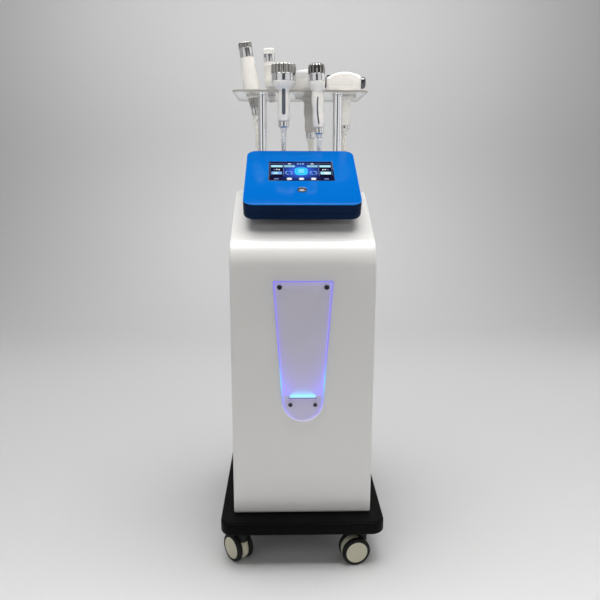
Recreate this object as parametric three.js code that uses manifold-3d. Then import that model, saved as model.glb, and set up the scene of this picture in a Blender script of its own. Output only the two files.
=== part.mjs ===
// Cavitation slimming machine on four twin-wheel castors, in millimetres, +Z up.
// The origin lies on the floor, under the middle of the machine's bounding box.
// The front, with the light panel, faces -Y.
import * as THREE from 'three';
import { mergeVertices } from 'three/addons/utils/BufferGeometryUtils.js';
import Module from 'manifold-3d';

const wasm = await Module();
wasm.setup();
const degree = Math.PI / 180;

// Clearances and facet counts
const seat = 0.3; // left between a piece and what it rests on
const running = 0.5; // left between a moving piece and its guide
const overrun = 4; // how far a cutting tool reaches past a wall
const weldTolerance = 0.001;
const fineSides = 18;
const roundSides = 14;
const smallSides = 10;

// Castors
const castorHeight = 97; // floor to the underside of the base plate
const tyreRadius = 37.5;
const castorWidth = 49.2; // over both discs
const webWidth = 19;
const discRadius = 28.8;
const discDish = 1;
const tyreShoulder = 3;
const trail = 20; // stem axis to axle
const axleRadius = 4;
const axlePocket = 3.5; // disc thickness outside the axle's blind bore
const webRadius = 36;
const floorClearance = 9; // under the castor's web
const neckRadius = 15;
const bearingRadius = 18;
const bearingHeight = 9;
const stemRadius = 5.5;
const stemLength = 14;
const castorInsetX = 55; // stem axis to the plate's side edge
const castorInsetY = 41.5; // stem axis to the plate's front or back edge
const swivels = {
  front_left: 128.8 * degree, front_right: 191.8 * degree, rear_left: 68 * degree, rear_right: 117 * degree,
};

// Base plate
const plateThickness = 33.4;
const plateOverhangSide = 33;
const plateOverhangFront = 52;
const plateOverhangBack = 40;
const plateCorner = 34;
const plateEdge = 4;

// Cabinet of folded sheet
const cabinetWidth = 360;
const cabinetDepth = 460;
const sheet = 2;
const frontBend = 70;
const frontHeight = 659; // flat front, up to where the bend starts
const topRise = 169; // from there to the flat top
const slopeAngle = 24.5 * degree;
const crestBend = 40; // where the slope meets the flat top
const rearBend = 70;
const footBend = 8;
const sideEdge = 4;
const rearFlange = 18;

// Rear panel, with a gland for each hose, vents, mains inlet and switch
const panelMargin = 6;
const panelSheet = 2;
const glandHeight = 430; // above the base plate
const glandFlangeRadius = 13;
const glandFlange = 6;
const glandMargin = 1; // from the outermost gland to the panel's edge
const glandRadius = 11;
const glandTipRadius = 9.5;
const glandLength = 30;
const ventSlots = 5;
const ventWidth = 90;
const ventSlot = 4;
const ventPitch = 12;
const ventFromTop = 132; // lowest slot, below the panel's top edge
const ventOffset = 75;
const inletWidth = 48;
const inletTall = 27;
const inletDepth = 22;
const inletHeight = 90;
const inletOffset = 60;
const inletRim = 3;
const inletMouthWidth = 25;
const inletMouthTall = 17;
const inletMouthDepth = 16;
const rockerWidth = 13;
const rockerTall = 20;
const rockerFrame = 4;
const rockerDepth = 14;
const rockerProud = 3;

// Light panel of clear acrylic with its light bar
const lightLean = 4 * degree; // the sides lean outwards by this much
const lightBottomRadius = 53;
const lightFromTop = 32; // top edge, below the start of the front bend
const lightThickness = 8;
const lightBottom = 263; // above the base plate
const lightBarWidth = 66;
const lightBarTall = 6;
const lightBarDepth = 7;
const lightBarHeight = 61; // above the panel's lowest point

// Console, tilted above the slope
const consoleWidth = 298;
const consoleLength = 305;
const consoleThickness = 45;
const consoleTilt = 26 * degree;
const consoleCorner = 28;
const consoleUnderRound = 5;
const consoleTopEdge = 1.5;
const consoleTrayHeight = 19;
const consoleFront = 51; // top front edge, behind the cabinet's front
const consoleRise = 148.5; // the same edge, above the flat front
const screenWidth = 175;
const screenLength = 112;
const screenThickness = 3;
const screenCorner = 2;
const screenFromFront = 124;
const buttonFromFront = 74;
const bezelRadius = 12.5;
const bezelHeight = 2.4;
const bezelStem = 10;
const bezelDepth = 14;
const bezelFloor = 2;
const buttonRadius = 8.5;
const buttonDepth = 9;
const buttonEdge = 2.5;
const buttonTravel = 2.5;
const standWidth = 150;
const standFromFront = 105;
const standLength = 100;

// Pillars and shelf
const pillarRadius = 12.4;
const pillarWall = 1.6;
const pillarSpacing = 214;
const pillarFromFront = 362;
const pillarFlangeRadius = 23;
const pillarFlange = 5;
const pillarCapRadius = 15;
const pillarCap = 5;
const shelfWidth = 376;
const shelfDepth = 295;
const shelfThickness = 6;
const shelfCorner = 25;
const shelfFront = 305; // behind the cabinet's front
const shelfRise = 271; // underside, above the cabinet's flat top

// Hoses of the handpieces
const hoseRadius = 7.4;
const hoseRoot = 6.3;
const hoseBore = 4.6;
const ribPitch = 7;
const ribCount = 11; // on the stretch below each handpiece
const plainStep = 50;
const hoseSides = 8;
const boreStride = 5; // ribs between two rings of the bore
const hoseGrip = 10; // inside the boot and inside the gland
const hoseStraight = 15; // beyond the boot and before the gland
const hoseBend = 62; // least bend radius
const hoseClearance = 2.5; // between a hanging hose and the rear panel
const loopBackY = 590; // rear side of the hanging loops, behind the cabinet's front
const loopHeight = 100; // lowest point of the loops, above the base plate
const downPoints = 4;
// Across the rear panel: where each hose hangs down, and its gland in shares of the outermost gland's place
const runPlaces = { contour_probe: -126, body_rf: -46.5, cavitation: 32, face_rf: 58, roller: 135 };
const glandShares = { contour_probe: -0.6375, body_rf: 0.075, cavitation: 0.5125, face_rf: 0.7125, roller: 1 };

// Handpieces: where the axis meets the shelf, its lean, the shelf's hole, and what stands in it
const holeGap = 1; // between a shelf hole and the widest part that passes it
const handpieces = {
  contour_probe: {
    x: -137.7, y: 440, lean: 8.4 * degree, holeRadius: 19.2, shoulder: 19.9, neck: 17.9, tailTop: -14,
  },
  lift_probe: { x: -81.5, y: 440, lean: 3.8 * degree, holeRadius: 11.9, shoulder: 12.6, tailTop: 20 },
  body_rf: { x: -46.5, y: 334, lean: 0, holeRadius: 18.6, shoulder: 19.2, tailTop: -82, frontRow: true },
  cavitation: { x: 27.8, y: 490, lean: 3.8 * degree, holeRadius: 40, shoulder: 41, tailTop: -107.5 },
  face_rf: {
    x: 47.9, y: 334, lean: 2.8 * degree, holeRadius: 18.2, shoulder: 18.8, tailTop: -99.5, frontRow: true,
  },
  roller: { x: 135, y: 440, lean: 0, holeRadius: 34, shoulder: 34.8, tailTop: -88 },
};

// Their bodies
const bodies = {
  contour_probe: { radius: 24.6, length: 100 },
  lift_probe: { radius: 19, length: 70 },
  body_rf: { radius: 17.6, flare: 24 },
  cavitation: { radius: 15.2, bowlRadius: 50, height: 46, depth: 13 },
  face_rf: { radius: 17, flare: 23.7 },
  roller: {
    offset: -5.8, width: 100.4, low: 9, peak: 65, sideLeft: 47, sideRight: 53, front: 34, back: 12, edge: 5,
    handle: 18.4, flare: 14, ring: 26.8, ringHeight: 4, rim: 38,
  },
};

// Their heads: fluted crowns on a band, a flat puck, and the roller's drum
const heads = {
  contour_probe: { radius: 19.5, band: 27, crown: 15, flutes: 10, fluteShare: 0.1 },
  lift_probe: { radius: 16.2, band: 22, crown: 15, flutes: 10, fluteShare: 0.1 },
  body_rf: { radius: 34.2, band: 20.5, crown: 25.5, flutes: 12, fluteShare: 0.1 },
  cavitation: { radius: 40.2, tall: 25.5, edge: 4, dish: 1.2 },
  face_rf: { radius: 23.4, band: 20, crown: 29, flutes: 12, fluteShare: 0.12 },
  roller: {
    radius: 21.5, length: 118, edge: 6, dome: 2, grooveDepth: 2.5, grooveWidth: 5, back: 2, height: 34.5,
  },
};

// Their tails: a fluted sleeve on two of them, then a chrome collar and the hose's boot, or a plug
const sleeves = {
  contour_probe: { top: 15.2, bottom: 11.4, length: 27 },
  lift_probe: { top: 12.8, bottom: 10.6, length: 38, neck: 11.2 },
};
const sleeveFlutes = 8;
const sleeveFluteShare = 0.1;
const collars = {
  contour_probe: { top: 10.9, bottom: 10, chamfer: 4, length: 22 },
  body_rf: { top: 15.5, bottom: 12.8, chamfer: 5, length: 18.4 },
  cavitation: { top: 13.6, bottom: 11.7, chamfer: 5, length: 22 },
  face_rf: { top: 13.6, bottom: 11.8, chamfer: 5, length: 19.6 },
  roller: { top: 16.8, bottom: 11.4, chamfer: 6, length: 14.8 },
};
const boots = {
  contour_probe: { top: 9, bottom: 8.2, length: 16 },
  body_rf: { top: 9.2, bottom: 8.3, length: 10.6 },
  cavitation: { top: 9.4, bottom: 8.3, length: 28 },
  face_rf: { top: 8.9, bottom: 8.2, length: 11 },
  roller: { top: 8.9, bottom: 8.2, length: 14 },
};
const plugRadius = 8;
const plugLength = 5;
const backRow = ['contour_probe', 'lift_probe', 'cavitation', 'roller'];

// Outlines of the handpieces, in shares of a radius and of a height
const contourShares = [[1, 0.12], [0.92, 0.6], [0.83, 1]];
const liftShares = [[0.87, 0], [0.95, 0.1], [1, 0.36], [0.84, 0.6], [0.93, 0.82], [0.86, 0.86], [0.86, 1]];
const waveShares = [[0.93, 0], [0.99, 0.08], [0.95, 0.38], [0.92, 0.6], [1, 0.8], [0.95, 0.96]];
const flareShares = [[0.19, 0.23], [0.71, 0.54], [0.98, 0.92], [1, 1]];
const bowlUnderShares = [[0.55, 0.86], [0.82, 0.58], [0.96, 0.2]];
const bowlShares = [[0.94, 0.16], [1, 0.36], [0.86, 0.97], [0.83, 1]];
const flatCrownShares = [[1.02, 0], [1.02, 0.84], [0.95, 1]];
const domeCrownShares = [[1.02, 0], [1.02, 0.45], [0.95, 0.74], [0.76, 0.92], [0.45, 1]];
const archShare = 0.22; // of the roller hood's width, from each side to the arch's control point
const drapeShares = [[0.1, 2], [0.35, 1.45], [0.75, 0.85], [0.98, 0.3]]; // of a back hose over the rear bend

// Parts inside the cabinet
const supplyWidth = 115;
const supplyTall = 50;
const terminalShares = [0.9, 0.08, 0.33]; // terminal block, of the supply's width, depth and height
const insideFromSide = 27.5; // power supply and heat sink, inside the cabinet's side
const finCount = 9;
const finTall = 34;
const finThickness = 2;
const sinkWidth = 90;
const sinkDepthShare = 0.58; // of the room in front of the pump
const sinkBase = 6;
const boardTall = 120;
const boardThickness = 1.6;
const coilDepthShare = 0.3; // of the board's depth
const coilHeightShares = [0.5, 0.8]; // of the board's height
const coilReach = 16;
const pumpRadius = 30;
const pumpLength = 95;
const pumpHead = 62;
const pumpFoot = 6;
const pumpHeadShare = 0.7; // of its height and depth, along the motor
const insideFromFront = 70;
const insideGap = 41; // between the power supply and the pump
const pumpFromRear = 69;

// Derived heights
const plateWidth = cabinetWidth + 2 * plateOverhangSide;
const plateTop = castorHeight + plateThickness;
const frontTop = plateTop + frontHeight;
const cabinetTop = frontTop + topRise;
const shelfUnder = cabinetTop + shelfRise;
const shelfTop = shelfUnder + shelfThickness;
const plateFrontY = -plateOverhangFront;
const plateBackY = cabinetDepth + plateOverhangBack;
const shelfBackY = shelfFront + shelfDepth;
const middleY = (Math.min(plateFrontY, shelfFront) + Math.max(plateBackY, shelfBackY)) / 2;

// Materials
function finish(color, roughness, metalness) {
  return new THREE.MeshStandardMaterial({ color, roughness, metalness });
}
const whitePaint = finish(0xf2efec, 0.3, 0);
const blackPlastic = finish(0x17171a, 0.55, 0);
const tyreBlack = finish(0x141414, 0.7, 0);
const hoodGrey = finish(0xb5b1a2, 0.5, 0);
const steelGrey = finish(0x8d9094, 0.4, 0.8);
const chrome = finish(0xe4e6e8, 0.08, 1);
const blueGloss = finish(0x0a6fd0, 0.25, 0);
const navyGloss = finish(0x06224a, 0.3, 0);
const screenGlass = finish(0x0b1230, 0.1, 0);
const acrylic = finish(0xdfe4ee, 0.08, 0);
acrylic.transparent = true;
acrylic.opacity = 0.35;
const lightViolet = finish(0x7fe8ff, 0.3, 0);
const handleWhite = finish(0xf3f0ec, 0.35, 0);
const crownMetal = finish(0x9a968f, 0.3, 0.9);
const hoseIvory = finish(0xdedacb, 0.55, 0);
const boardGreen = finish(0x1f6b3a, 0.6, 0);
const motorMetal = finish(0x6f747a, 0.4, 0.8);

// Solid modelling helpers
function weld(geometry) {
  const bare = geometry.index ? geometry.toNonIndexed() : geometry.clone();
  for (const name of Object.keys(bare.attributes)) {
    if (name !== 'position') bare.deleteAttribute(name);
  }
  const merged = mergeVertices(bare, weldTolerance);
  const kept = [];
  const index = merged.index.array;
  for (let i = 0; i < index.length; i += 3) {
    const [a, b, c] = [index[i], index[i + 1], index[i + 2]];
    if (a !== b && b !== c && c !== a) kept.push(a, b, c);
  }
  merged.setIndex(kept);
  if (signedVolume(merged) < 0) merged.setIndex(kept.map((_, i) => kept[i - (i % 3) + 2 - (i % 3)]));
  return merged;
}

function signedVolume(geometry) {
  const place = geometry.attributes.position;
  const index = geometry.index.array;
  const [a, b, c] = [new THREE.Vector3(), new THREE.Vector3(), new THREE.Vector3()];
  let sum = 0;
  for (let i = 0; i < index.length; i += 3) {
    a.fromBufferAttribute(place, index[i]);
    b.fromBufferAttribute(place, index[i + 1]);
    c.fromBufferAttribute(place, index[i + 2]);
    sum += a.dot(b.cross(c));
  }
  return sum / 6;
}

function toSolid(geometry) {
  const welded = weld(geometry);
  return new wasm.Manifold(new wasm.Mesh({
    numProp: 3,
    vertProperties: new Float32Array(welded.attributes.position.array),
    triVerts: new Uint32Array(welded.index.array),
  }));
}

function toGeometry(solid) {
  const mesh = solid.getMesh();
  const geometry = new THREE.BufferGeometry();
  geometry.setAttribute('position', new THREE.BufferAttribute(new Float32Array(mesh.vertProperties), 3));
  geometry.setIndex(Array.from(mesh.triVerts));
  return geometry;
}

function join(...pieces) {
  return toGeometry(pieces.map(toSolid).reduce((whole, next) => whole.add(next)));
}

function cut(body, ...tools) {
  return toGeometry(tools.map(toSolid).reduce((whole, tool) => whole.subtract(tool), toSolid(body)));
}

function common(body, other) {
  return toGeometry(toSolid(body).intersect(toSolid(other)));
}

// A solid of revolution about Z, from [radius, height] points
function turned(points, sides = roundSides, start = 0) {
  const profile = points.map(([radius, height]) => new THREE.Vector2(radius, height));
  return weld(new THREE.LatheGeometry(profile, sides, start)).rotateX(Math.PI / 2);
}

// The same about Y, with a facet facing straight up and down
function turnedAcross(points, sides) {
  const profile = points.map(([radius, along]) => new THREE.Vector2(radius, along));
  return weld(new THREE.LatheGeometry(profile, sides, Math.PI / sides));
}

function rod(radius, low, high, sides = smallSides) {
  return turned([[0, low], [radius, low], [radius, high], [0, high]], sides);
}

// A blind bore whose flats clear the hose that it holds
function hoseSocket(low, high) {
  return rod((hoseRoot + seat) / Math.cos(Math.PI / hoseSides), low, high, hoseSides);
}

function slab(width, depth, low, high) {
  return new THREE.BoxGeometry(width, depth, high - low).translate(0, 0, (low + high) / 2);
}

function roundedRectangle(width, depth, corner) {
  const shape = new THREE.Shape();
  const [x, y] = [width / 2, depth / 2];
  shape.moveTo(x - corner, -y);
  shape.absarc(x - corner, corner - y, corner, -Math.PI / 2, 0);
  shape.absarc(x - corner, y - corner, corner, 0, Math.PI / 2);
  shape.absarc(corner - x, y - corner, corner, Math.PI / 2, Math.PI);
  shape.absarc(corner - x, corner - y, corner, Math.PI, Math.PI * 1.5);
  shape.closePath();
  return shape;
}

// Extrudes along Z from low to high; an edge radius rounds both ends within that height
function extruded(shape, low, high, edge = 0, steps = 1, curveSegments = 2) {
  const outline = edge > 0 ? -edge : 0;
  return new THREE.ExtrudeGeometry(shape, {
    depth: high - low - 2 * edge,
    bevelEnabled: edge > 0,
    bevelThickness: edge,
    bevelSize: edge,
    bevelOffset: outline,
    bevelSegments: steps,
    curveSegments,
  }).translate(0, 0, low + edge);
}

// Turns a shape drawn in Y and Z, extruded along Z, so that the extrusion runs along X
function sideways(geometry) {
  const turn = new THREE.Matrix4().makeBasis(
    new THREE.Vector3(0, 1, 0), new THREE.Vector3(0, 0, 1), new THREE.Vector3(1, 0, 0));
  return geometry.applyMatrix4(turn);
}

// A turned form whose radius dips between evenly spaced lobes by a share of it
function lobed(points, lobes, depthShare, steps = 2) {
  const sides = lobes * steps;
  const rings = points.filter(([radius]) => radius > 0);
  const corners = [];
  for (const [radius, height] of rings) {
    for (let k = 0; k < sides; k += 1) {
      const angle = (k / sides) * 2 * Math.PI;
      const dip = k % steps === 0 ? depthShare : 0;
      const reach = radius * (1 - dip);
      corners.push([reach * Math.cos(angle), reach * Math.sin(angle), height]);
    }
  }
  const floor = corners.push([0, 0, rings[0][1]]) - 1;
  const roof = corners.push([0, 0, rings.at(-1)[1]]) - 1;
  const faces = [];
  for (let k = 0; k < sides; k += 1) {
    const next = (k + 1) % sides;
    faces.push([floor, next, k]);
    for (let ring = 0; ring < rings.length - 1; ring += 1) {
      const [low, high] = [ring * sides, (ring + 1) * sides];
      faces.push([low + k, low + next, high + next], [low + k, high + next, high + k]);
    }
    const last = (rings.length - 1) * sides;
    faces.push([last + k, last + next, roof]);
  }
  const geometry = new THREE.BufferGeometry();
  geometry.setAttribute('position', new THREE.Float32BufferAttribute(corners.flat(), 3));
  geometry.setIndex(faces.flat());
  return geometry;
}

function piece(parent, name, geometry, material) {
  const mesh = new THREE.Mesh(weld(geometry), material);
  mesh.name = name;
  parent.add(mesh);
  return mesh;
}

const machine = new THREE.Group();
machine.position.y = -middleY;

// Castors: a hood with its stem and axle, and two wheels
const wheelSides = 16;
const axleHeight = tyreRadius * Math.cos(Math.PI / wheelSides);
const stemX = plateWidth / 2 - castorInsetX;
const stems = {
  front_left: [-stemX, plateFrontY + castorInsetY],
  front_right: [stemX, plateFrontY + castorInsetY],
  rear_left: [-stemX, plateBackY - castorInsetY],
  rear_right: [stemX, plateBackY - castorInsetY],
};

function castorHood() {
  const neckTop = castorHeight - bearingHeight - seat;
  const neckLow = axleHeight + tyreRadius + running * 2;
  const web = turnedAcross([[0, -webWidth / 2], [webRadius, -webWidth / 2], [webRadius, webWidth / 2],
    [0, webWidth / 2]], wheelSides).translate(trail, 0, axleHeight);
  const arm = slab(neckRadius * 2, webWidth, axleHeight, neckTop);
  const neck = rod(neckRadius, neckLow, neckTop, roundSides);
  const stem = rod(stemRadius, neckTop - overrun, castorHeight + stemLength);
  const reach = castorWidth / 2 - axlePocket - running;
  const axle = turnedAcross([[0, -reach], [axleRadius, -reach], [axleRadius, reach], [0, reach]], smallSides)
    .translate(trail, 0, axleHeight);
  const under = slab(tyreRadius * 4, castorWidth, -floorClearance, floorClearance);
  return cut(join(web, arm, neck, stem, axle), under);
}

function castorWheel(side) {
  const inner = webWidth / 2 + running;
  const outer = castorWidth / 2;
  const bore = axleRadius + running;
  const wheel = turnedAcross([
    [0, outer - discDish], [discRadius, outer], [tyreRadius - tyreShoulder, outer],
    [tyreRadius, outer - tyreShoulder], [tyreRadius, inner + tyreShoulder],
    [tyreRadius - tyreShoulder, inner], [bore, inner], [bore, outer - axlePocket],
    [0, outer - axlePocket]], wheelSides);
  return (side < 0 ? wheel.rotateZ(Math.PI) : wheel).translate(trail, 0, axleHeight);
}

for (const [corner, [x, y]] of Object.entries(stems)) {
  const castor = new THREE.Group();
  castor.position.set(x, y, 0);
  castor.rotation.z = swivels[corner];
  machine.add(castor);
  piece(castor, `castor_${corner}_hood`, castorHood(), hoodGrey);
  piece(castor, `castor_${corner}_wheel_a`, castorWheel(1), tyreBlack);
  piece(castor, `castor_${corner}_wheel_b`, castorWheel(-1), tyreBlack);
}

// Base plate with a bearing boss and a blind bore over each castor
const plateDepth = plateBackY - plateFrontY;
const plateMiddleY = (plateBackY + plateFrontY) / 2;
const platePlan = roundedRectangle(plateWidth, plateDepth, plateCorner);
const plateBody = extruded(platePlan, castorHeight, plateTop, plateEdge).translate(0, plateMiddleY, 0);
const bosses = Object.values(stems).map(([x, y]) =>
  rod(bearingRadius, castorHeight - bearingHeight, castorHeight + plateEdge, roundSides).translate(x, y, 0));
const bores = Object.values(stems).map(([x, y]) =>
  rod(stemRadius + running, castorHeight - bearingHeight - overrun, castorHeight + stemLength + running)
    .translate(x, y, 0));
piece(machine, 'base_plate', cut(join(plateBody, ...bosses), ...bores), blackPlastic);

// Cabinet: front, slope and top folded from one sheet, with sides and a rear flange
function cabinetOutline(inset) {
  const shape = new THREE.Shape();
  const low = plateTop + seat;
  const rise = Math.tan(slopeAngle);
  const bendEnd = [frontBend - frontBend * Math.sin(slopeAngle),
    frontTop + frontBend * Math.cos(slopeAngle)];
  const crestZ = cabinetTop - crestBend;
  const crestY = bendEnd[0] + crestBend * Math.sin(slopeAngle)
    + (cabinetTop - crestBend * (1 - Math.cos(slopeAngle)) - bendEnd[1]) / rise;
  shape.moveTo(inset > 0 ? inset : footBend, inset > 0 ? low - overrun : low);
  shape.lineTo(cabinetDepth - inset, inset > 0 ? low - overrun : low);
  shape.absarc(cabinetDepth - rearBend, cabinetTop - rearBend, rearBend - inset, 0, Math.PI / 2);
  shape.absarc(crestY, crestZ, crestBend - inset, Math.PI / 2, Math.PI / 2 + slopeAngle);
  shape.absarc(frontBend, frontTop, frontBend - inset, Math.PI / 2 + slopeAngle, Math.PI);
  if (inset === 0) shape.absarc(footBend, low + footBend, footBend, Math.PI, Math.PI * 1.5);
  shape.closePath();
  return shape;
}

const half = cabinetWidth / 2;
const shellOuter = sideways(extruded(cabinetOutline(0), -half, half, sideEdge, 2, 3));
const shellInner = sideways(extruded(cabinetOutline(sheet), sheet - half, half - sheet, 0, 1, 3));
const rearOpening = slab(cabinetWidth - 2 * rearFlange, 2 * rearFlange, plateTop - overrun,
  cabinetTop - rearBend - rearFlange).translate(0, cabinetDepth, 0);
piece(machine, 'cabinet_shell', cut(shellOuter, shellInner, rearOpening), whitePaint);

// Rear panel with glands, vents and the mains cut-outs
const panelFace = cabinetDepth + seat + panelSheet;
const panelBottom = plateTop + panelMargin;
const panelTop = cabinetTop - rearBend - panelMargin;
const throughPanel = 2 * (panelSheet + overrun);

const glandReach = half - panelMargin - glandFlangeRadius - glandMargin;
const glandX = (name) => glandReach * glandShares[name];
const glandsAt = Object.keys(glandShares).map(glandX);

function gland(x) {
  const back = panelFace - panelSheet / 2;
  const shape = turned([[0, 0], [glandFlangeRadius, 0], [glandFlangeRadius, glandFlange + panelSheet / 2],
    [glandRadius, glandFlange + panelSheet / 2], [glandTipRadius, glandLength + panelSheet / 2],
    [0, glandLength + panelSheet / 2]], smallSides);
  return shape.rotateX(-Math.PI / 2).translate(x, back, plateTop + glandHeight);
}

function glandBore(x) {
  const [low, high] = [glandLength - hoseGrip - seat, glandLength + overrun];
  return hoseSocket(low, high).rotateX(-Math.PI / 2).translate(x, panelFace, plateTop + glandHeight);
}

function vents(side) {
  const slots = [];
  for (let row = 0; row < ventSlots; row += 1) {
    const low = panelTop - ventFromTop + row * ventPitch;
    slots.push(slab(ventWidth, throughPanel, low, low + ventSlot).translate(side * ventOffset, panelFace, 0));
  }
  return slots;
}

const panelPlate = slab(cabinetWidth - 2 * panelMargin, panelSheet, panelBottom, panelTop)
  .translate(0, panelFace - panelSheet / 2, 0);
const inletLow = plateTop + inletHeight;
const rockerOffset = inletOffset - inletWidth / 2 - rockerFrame - rockerWidth / 2 - inletRim * 3;
const inletCut = slab(inletWidth + running, throughPanel, inletLow, inletLow + inletTall)
  .translate(inletOffset, panelFace, 0);
const rockerLow = inletLow + (inletTall - rockerTall) / 2;
const rockerHigh = rockerLow + rockerTall;
const rockerCut = slab(rockerWidth + 2 * running, throughPanel, rockerLow - running, rockerHigh + running)
  .translate(rockerOffset, panelFace, 0);
const panelSolid = cut(join(panelPlate, ...glandsAt.map(gland)),
  ...glandsAt.map(glandBore), ...vents(-1), ...vents(1), inletCut, rockerCut);
piece(machine, 'rear_panel', panelSolid, whitePaint);

// Mains inlet: a moulded body through the panel, with a rim outside and a mouth for the plug
const inletMiddle = inletLow + inletTall / 2;
const inletBody = slab(inletWidth, inletDepth, inletLow + running, inletLow + inletTall - running)
  .translate(inletOffset, panelFace + seat + inletRim / 2 - inletDepth / 2, 0);
const rimTop = inletLow + inletTall + inletRim;
const inletFlange = slab(inletWidth + 2 * inletRim, inletRim, inletLow - inletRim, rimTop)
  .translate(inletOffset, panelFace + seat + inletRim / 2, 0);
const mouthPlan = roundedRectangle(inletMouthWidth, inletMouthTall, inletRim);
const inletMouth = extruded(mouthPlan, 0, inletMouthDepth + overrun).rotateX(-Math.PI / 2)
  .translate(inletOffset, panelFace + seat + inletRim - inletMouthDepth, inletMiddle);
piece(machine, 'mains_inlet', cut(join(inletBody, inletFlange), inletMouth), blackPlastic);

// Rocker switch: a two-sided key that tips about X in the panel's cut-out
const rockerKey = new THREE.Shape();
rockerKey.moveTo(-rockerDepth, -rockerTall / 4);
rockerKey.lineTo(0, -rockerTall / 2);
rockerKey.lineTo(rockerProud, -rockerTall / 2);
rockerKey.lineTo(0, 0);
rockerKey.lineTo(rockerProud / 2, rockerTall / 2);
rockerKey.lineTo(-rockerProud, rockerTall / 2);
rockerKey.lineTo(-rockerDepth, rockerTall / 4);
rockerKey.closePath();
piece(machine, 'mains_switch', sideways(extruded(rockerKey, -rockerWidth / 2, rockerWidth / 2))
  .translate(rockerOffset, panelFace + seat, rockerLow + rockerTall / 2), blackPlastic);

// Light panel: a tapered plate with a round foot, and a slot for the light bar
const lightShape = new THREE.Shape();
const lightHeight = frontHeight - lightBottom - lightFromTop;
const lightTopHalf = lightBottomRadius / Math.cos(lightLean)
  + (lightHeight - lightBottomRadius) * Math.tan(lightLean);
lightShape.moveTo(lightTopHalf, lightHeight);
lightShape.lineTo(-lightTopHalf, lightHeight);
lightShape.absarc(0, lightBottomRadius, lightBottomRadius, Math.PI + lightLean, 2 * Math.PI - lightLean);
lightShape.closePath();
const lightFoot = plateTop + lightBottom;
const lightPlate = extruded(lightShape, 0, lightThickness, 0, 1, 8)
  .rotateX(Math.PI / 2).translate(0, -seat, lightFoot);
const barLow = lightFoot + lightBarHeight;
const barHigh = barLow + lightBarTall;
const throughLight = 2 * (lightThickness + overrun);
const barSlot = slab(lightBarWidth + 2 * seat, throughLight, barLow - seat, barHigh + seat);
piece(machine, 'light_panel', cut(lightPlate, barSlot), acrylic);
piece(machine, 'light_bar', slab(lightBarWidth, lightBarDepth, barLow, barHigh)
  .translate(0, -seat - lightBarDepth / 2, 0), lightViolet);

// Console: tray, cover, screen, button, on a stand; drawn flat, then tilted as one group
const consoleGroup = new THREE.Group();
consoleGroup.position.set(0, consoleFront, frontTop + consoleRise);
consoleGroup.rotation.x = consoleTilt;
machine.add(consoleGroup);
const consolePlan = roundedRectangle(consoleWidth, consoleLength, consoleCorner);
const splitHeight = consoleTrayHeight - consoleThickness;
const hugeBlock = (low, high) => slab(consoleWidth * 2, consoleLength * 2, low, high);
const trayBlock = extruded(consolePlan, -consoleThickness, consoleUnderRound, consoleUnderRound, 2)
  .translate(0, consoleLength / 2, 0);
piece(consoleGroup, 'console_tray', common(trayBlock, hugeBlock(-consoleThickness * 2, splitHeight)
  .translate(0, consoleLength / 2, 0)), navyGloss);
const coverBlock = extruded(consolePlan, splitHeight - consoleTopEdge * 2, 0, consoleTopEdge, 1)
  .translate(0, consoleLength / 2, 0);
const coverAbove = common(coverBlock, hugeBlock(splitHeight + seat, consoleThickness)
  .translate(0, consoleLength / 2, 0));
const screenMiddle = screenFromFront + screenLength / 2;
const pocketPlan = roundedRectangle(screenWidth + 2 * seat, screenLength + 2 * seat, screenCorner);
const screenPocket = extruded(pocketPlan, -screenThickness - seat, overrun).translate(0, screenMiddle, 0);
const buttonHole = rod(bezelStem + seat, -bezelDepth - seat, overrun, roundSides)
  .translate(0, buttonFromFront, 0);
piece(consoleGroup, 'console_cover', cut(coverAbove, screenPocket, buttonHole), blueGloss);
const screenPlan = roundedRectangle(screenWidth, screenLength, screenCorner);
piece(consoleGroup, 'touch_screen', extruded(screenPlan, -screenThickness, 0)
  .translate(0, screenMiddle, 0), screenGlass);
piece(consoleGroup, 'button_bezel', turned([
  [0, bezelFloor - bezelDepth], [buttonRadius + running, bezelFloor - bezelDepth],
  [buttonRadius + running, bezelHeight / 2], [bezelRadius - bezelHeight / 2, bezelHeight],
  [bezelRadius, bezelHeight / 2], [bezelRadius, seat], [bezelStem, seat], [bezelStem, -bezelDepth],
  [0, -bezelDepth]])
  .translate(0, buttonFromFront, 0), chrome);
const buttonRim = bezelHeight / 2;
piece(consoleGroup, 'power_button', turned([
  [0, buttonRim - buttonDepth], [buttonRadius, buttonRim - buttonDepth], [buttonRadius, buttonRim],
  [buttonRadius - buttonEdge, bezelHeight], [0, bezelHeight]]).translate(0, buttonFromFront, 0), chrome);

// Console stand: a wedge between the slope and the tray
const bendShare = Math.cos(slopeAngle) - Math.tan(slopeAngle) * (1 - Math.sin(slopeAngle));
const slopeFoot = frontTop + frontBend * bendShare; // where the slope, drawn on, meets the front plane
const slopeAt = (y) => slopeFoot + y * Math.tan(slopeAngle);
const underFoot = frontTop + consoleRise - consoleThickness / Math.cos(consoleTilt);
const underAt = (y) => underFoot + (y - consoleFront) * Math.tan(consoleTilt);
const standFrontY = consoleFront + standFromFront;
const standBackY = standFrontY + standLength;
const standShape = new THREE.Shape();
standShape.moveTo(standFrontY, slopeAt(standFrontY) + seat);
standShape.lineTo(standBackY, slopeAt(standBackY) + seat);
standShape.lineTo(standBackY, underAt(standBackY) - seat);
standShape.lineTo(standFrontY, underAt(standFrontY) - seat);
standShape.closePath();
const standBlock = extruded(standShape, -standWidth / 2, standWidth / 2);
piece(machine, 'console_stand', sideways(standBlock), blackPlastic);

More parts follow.
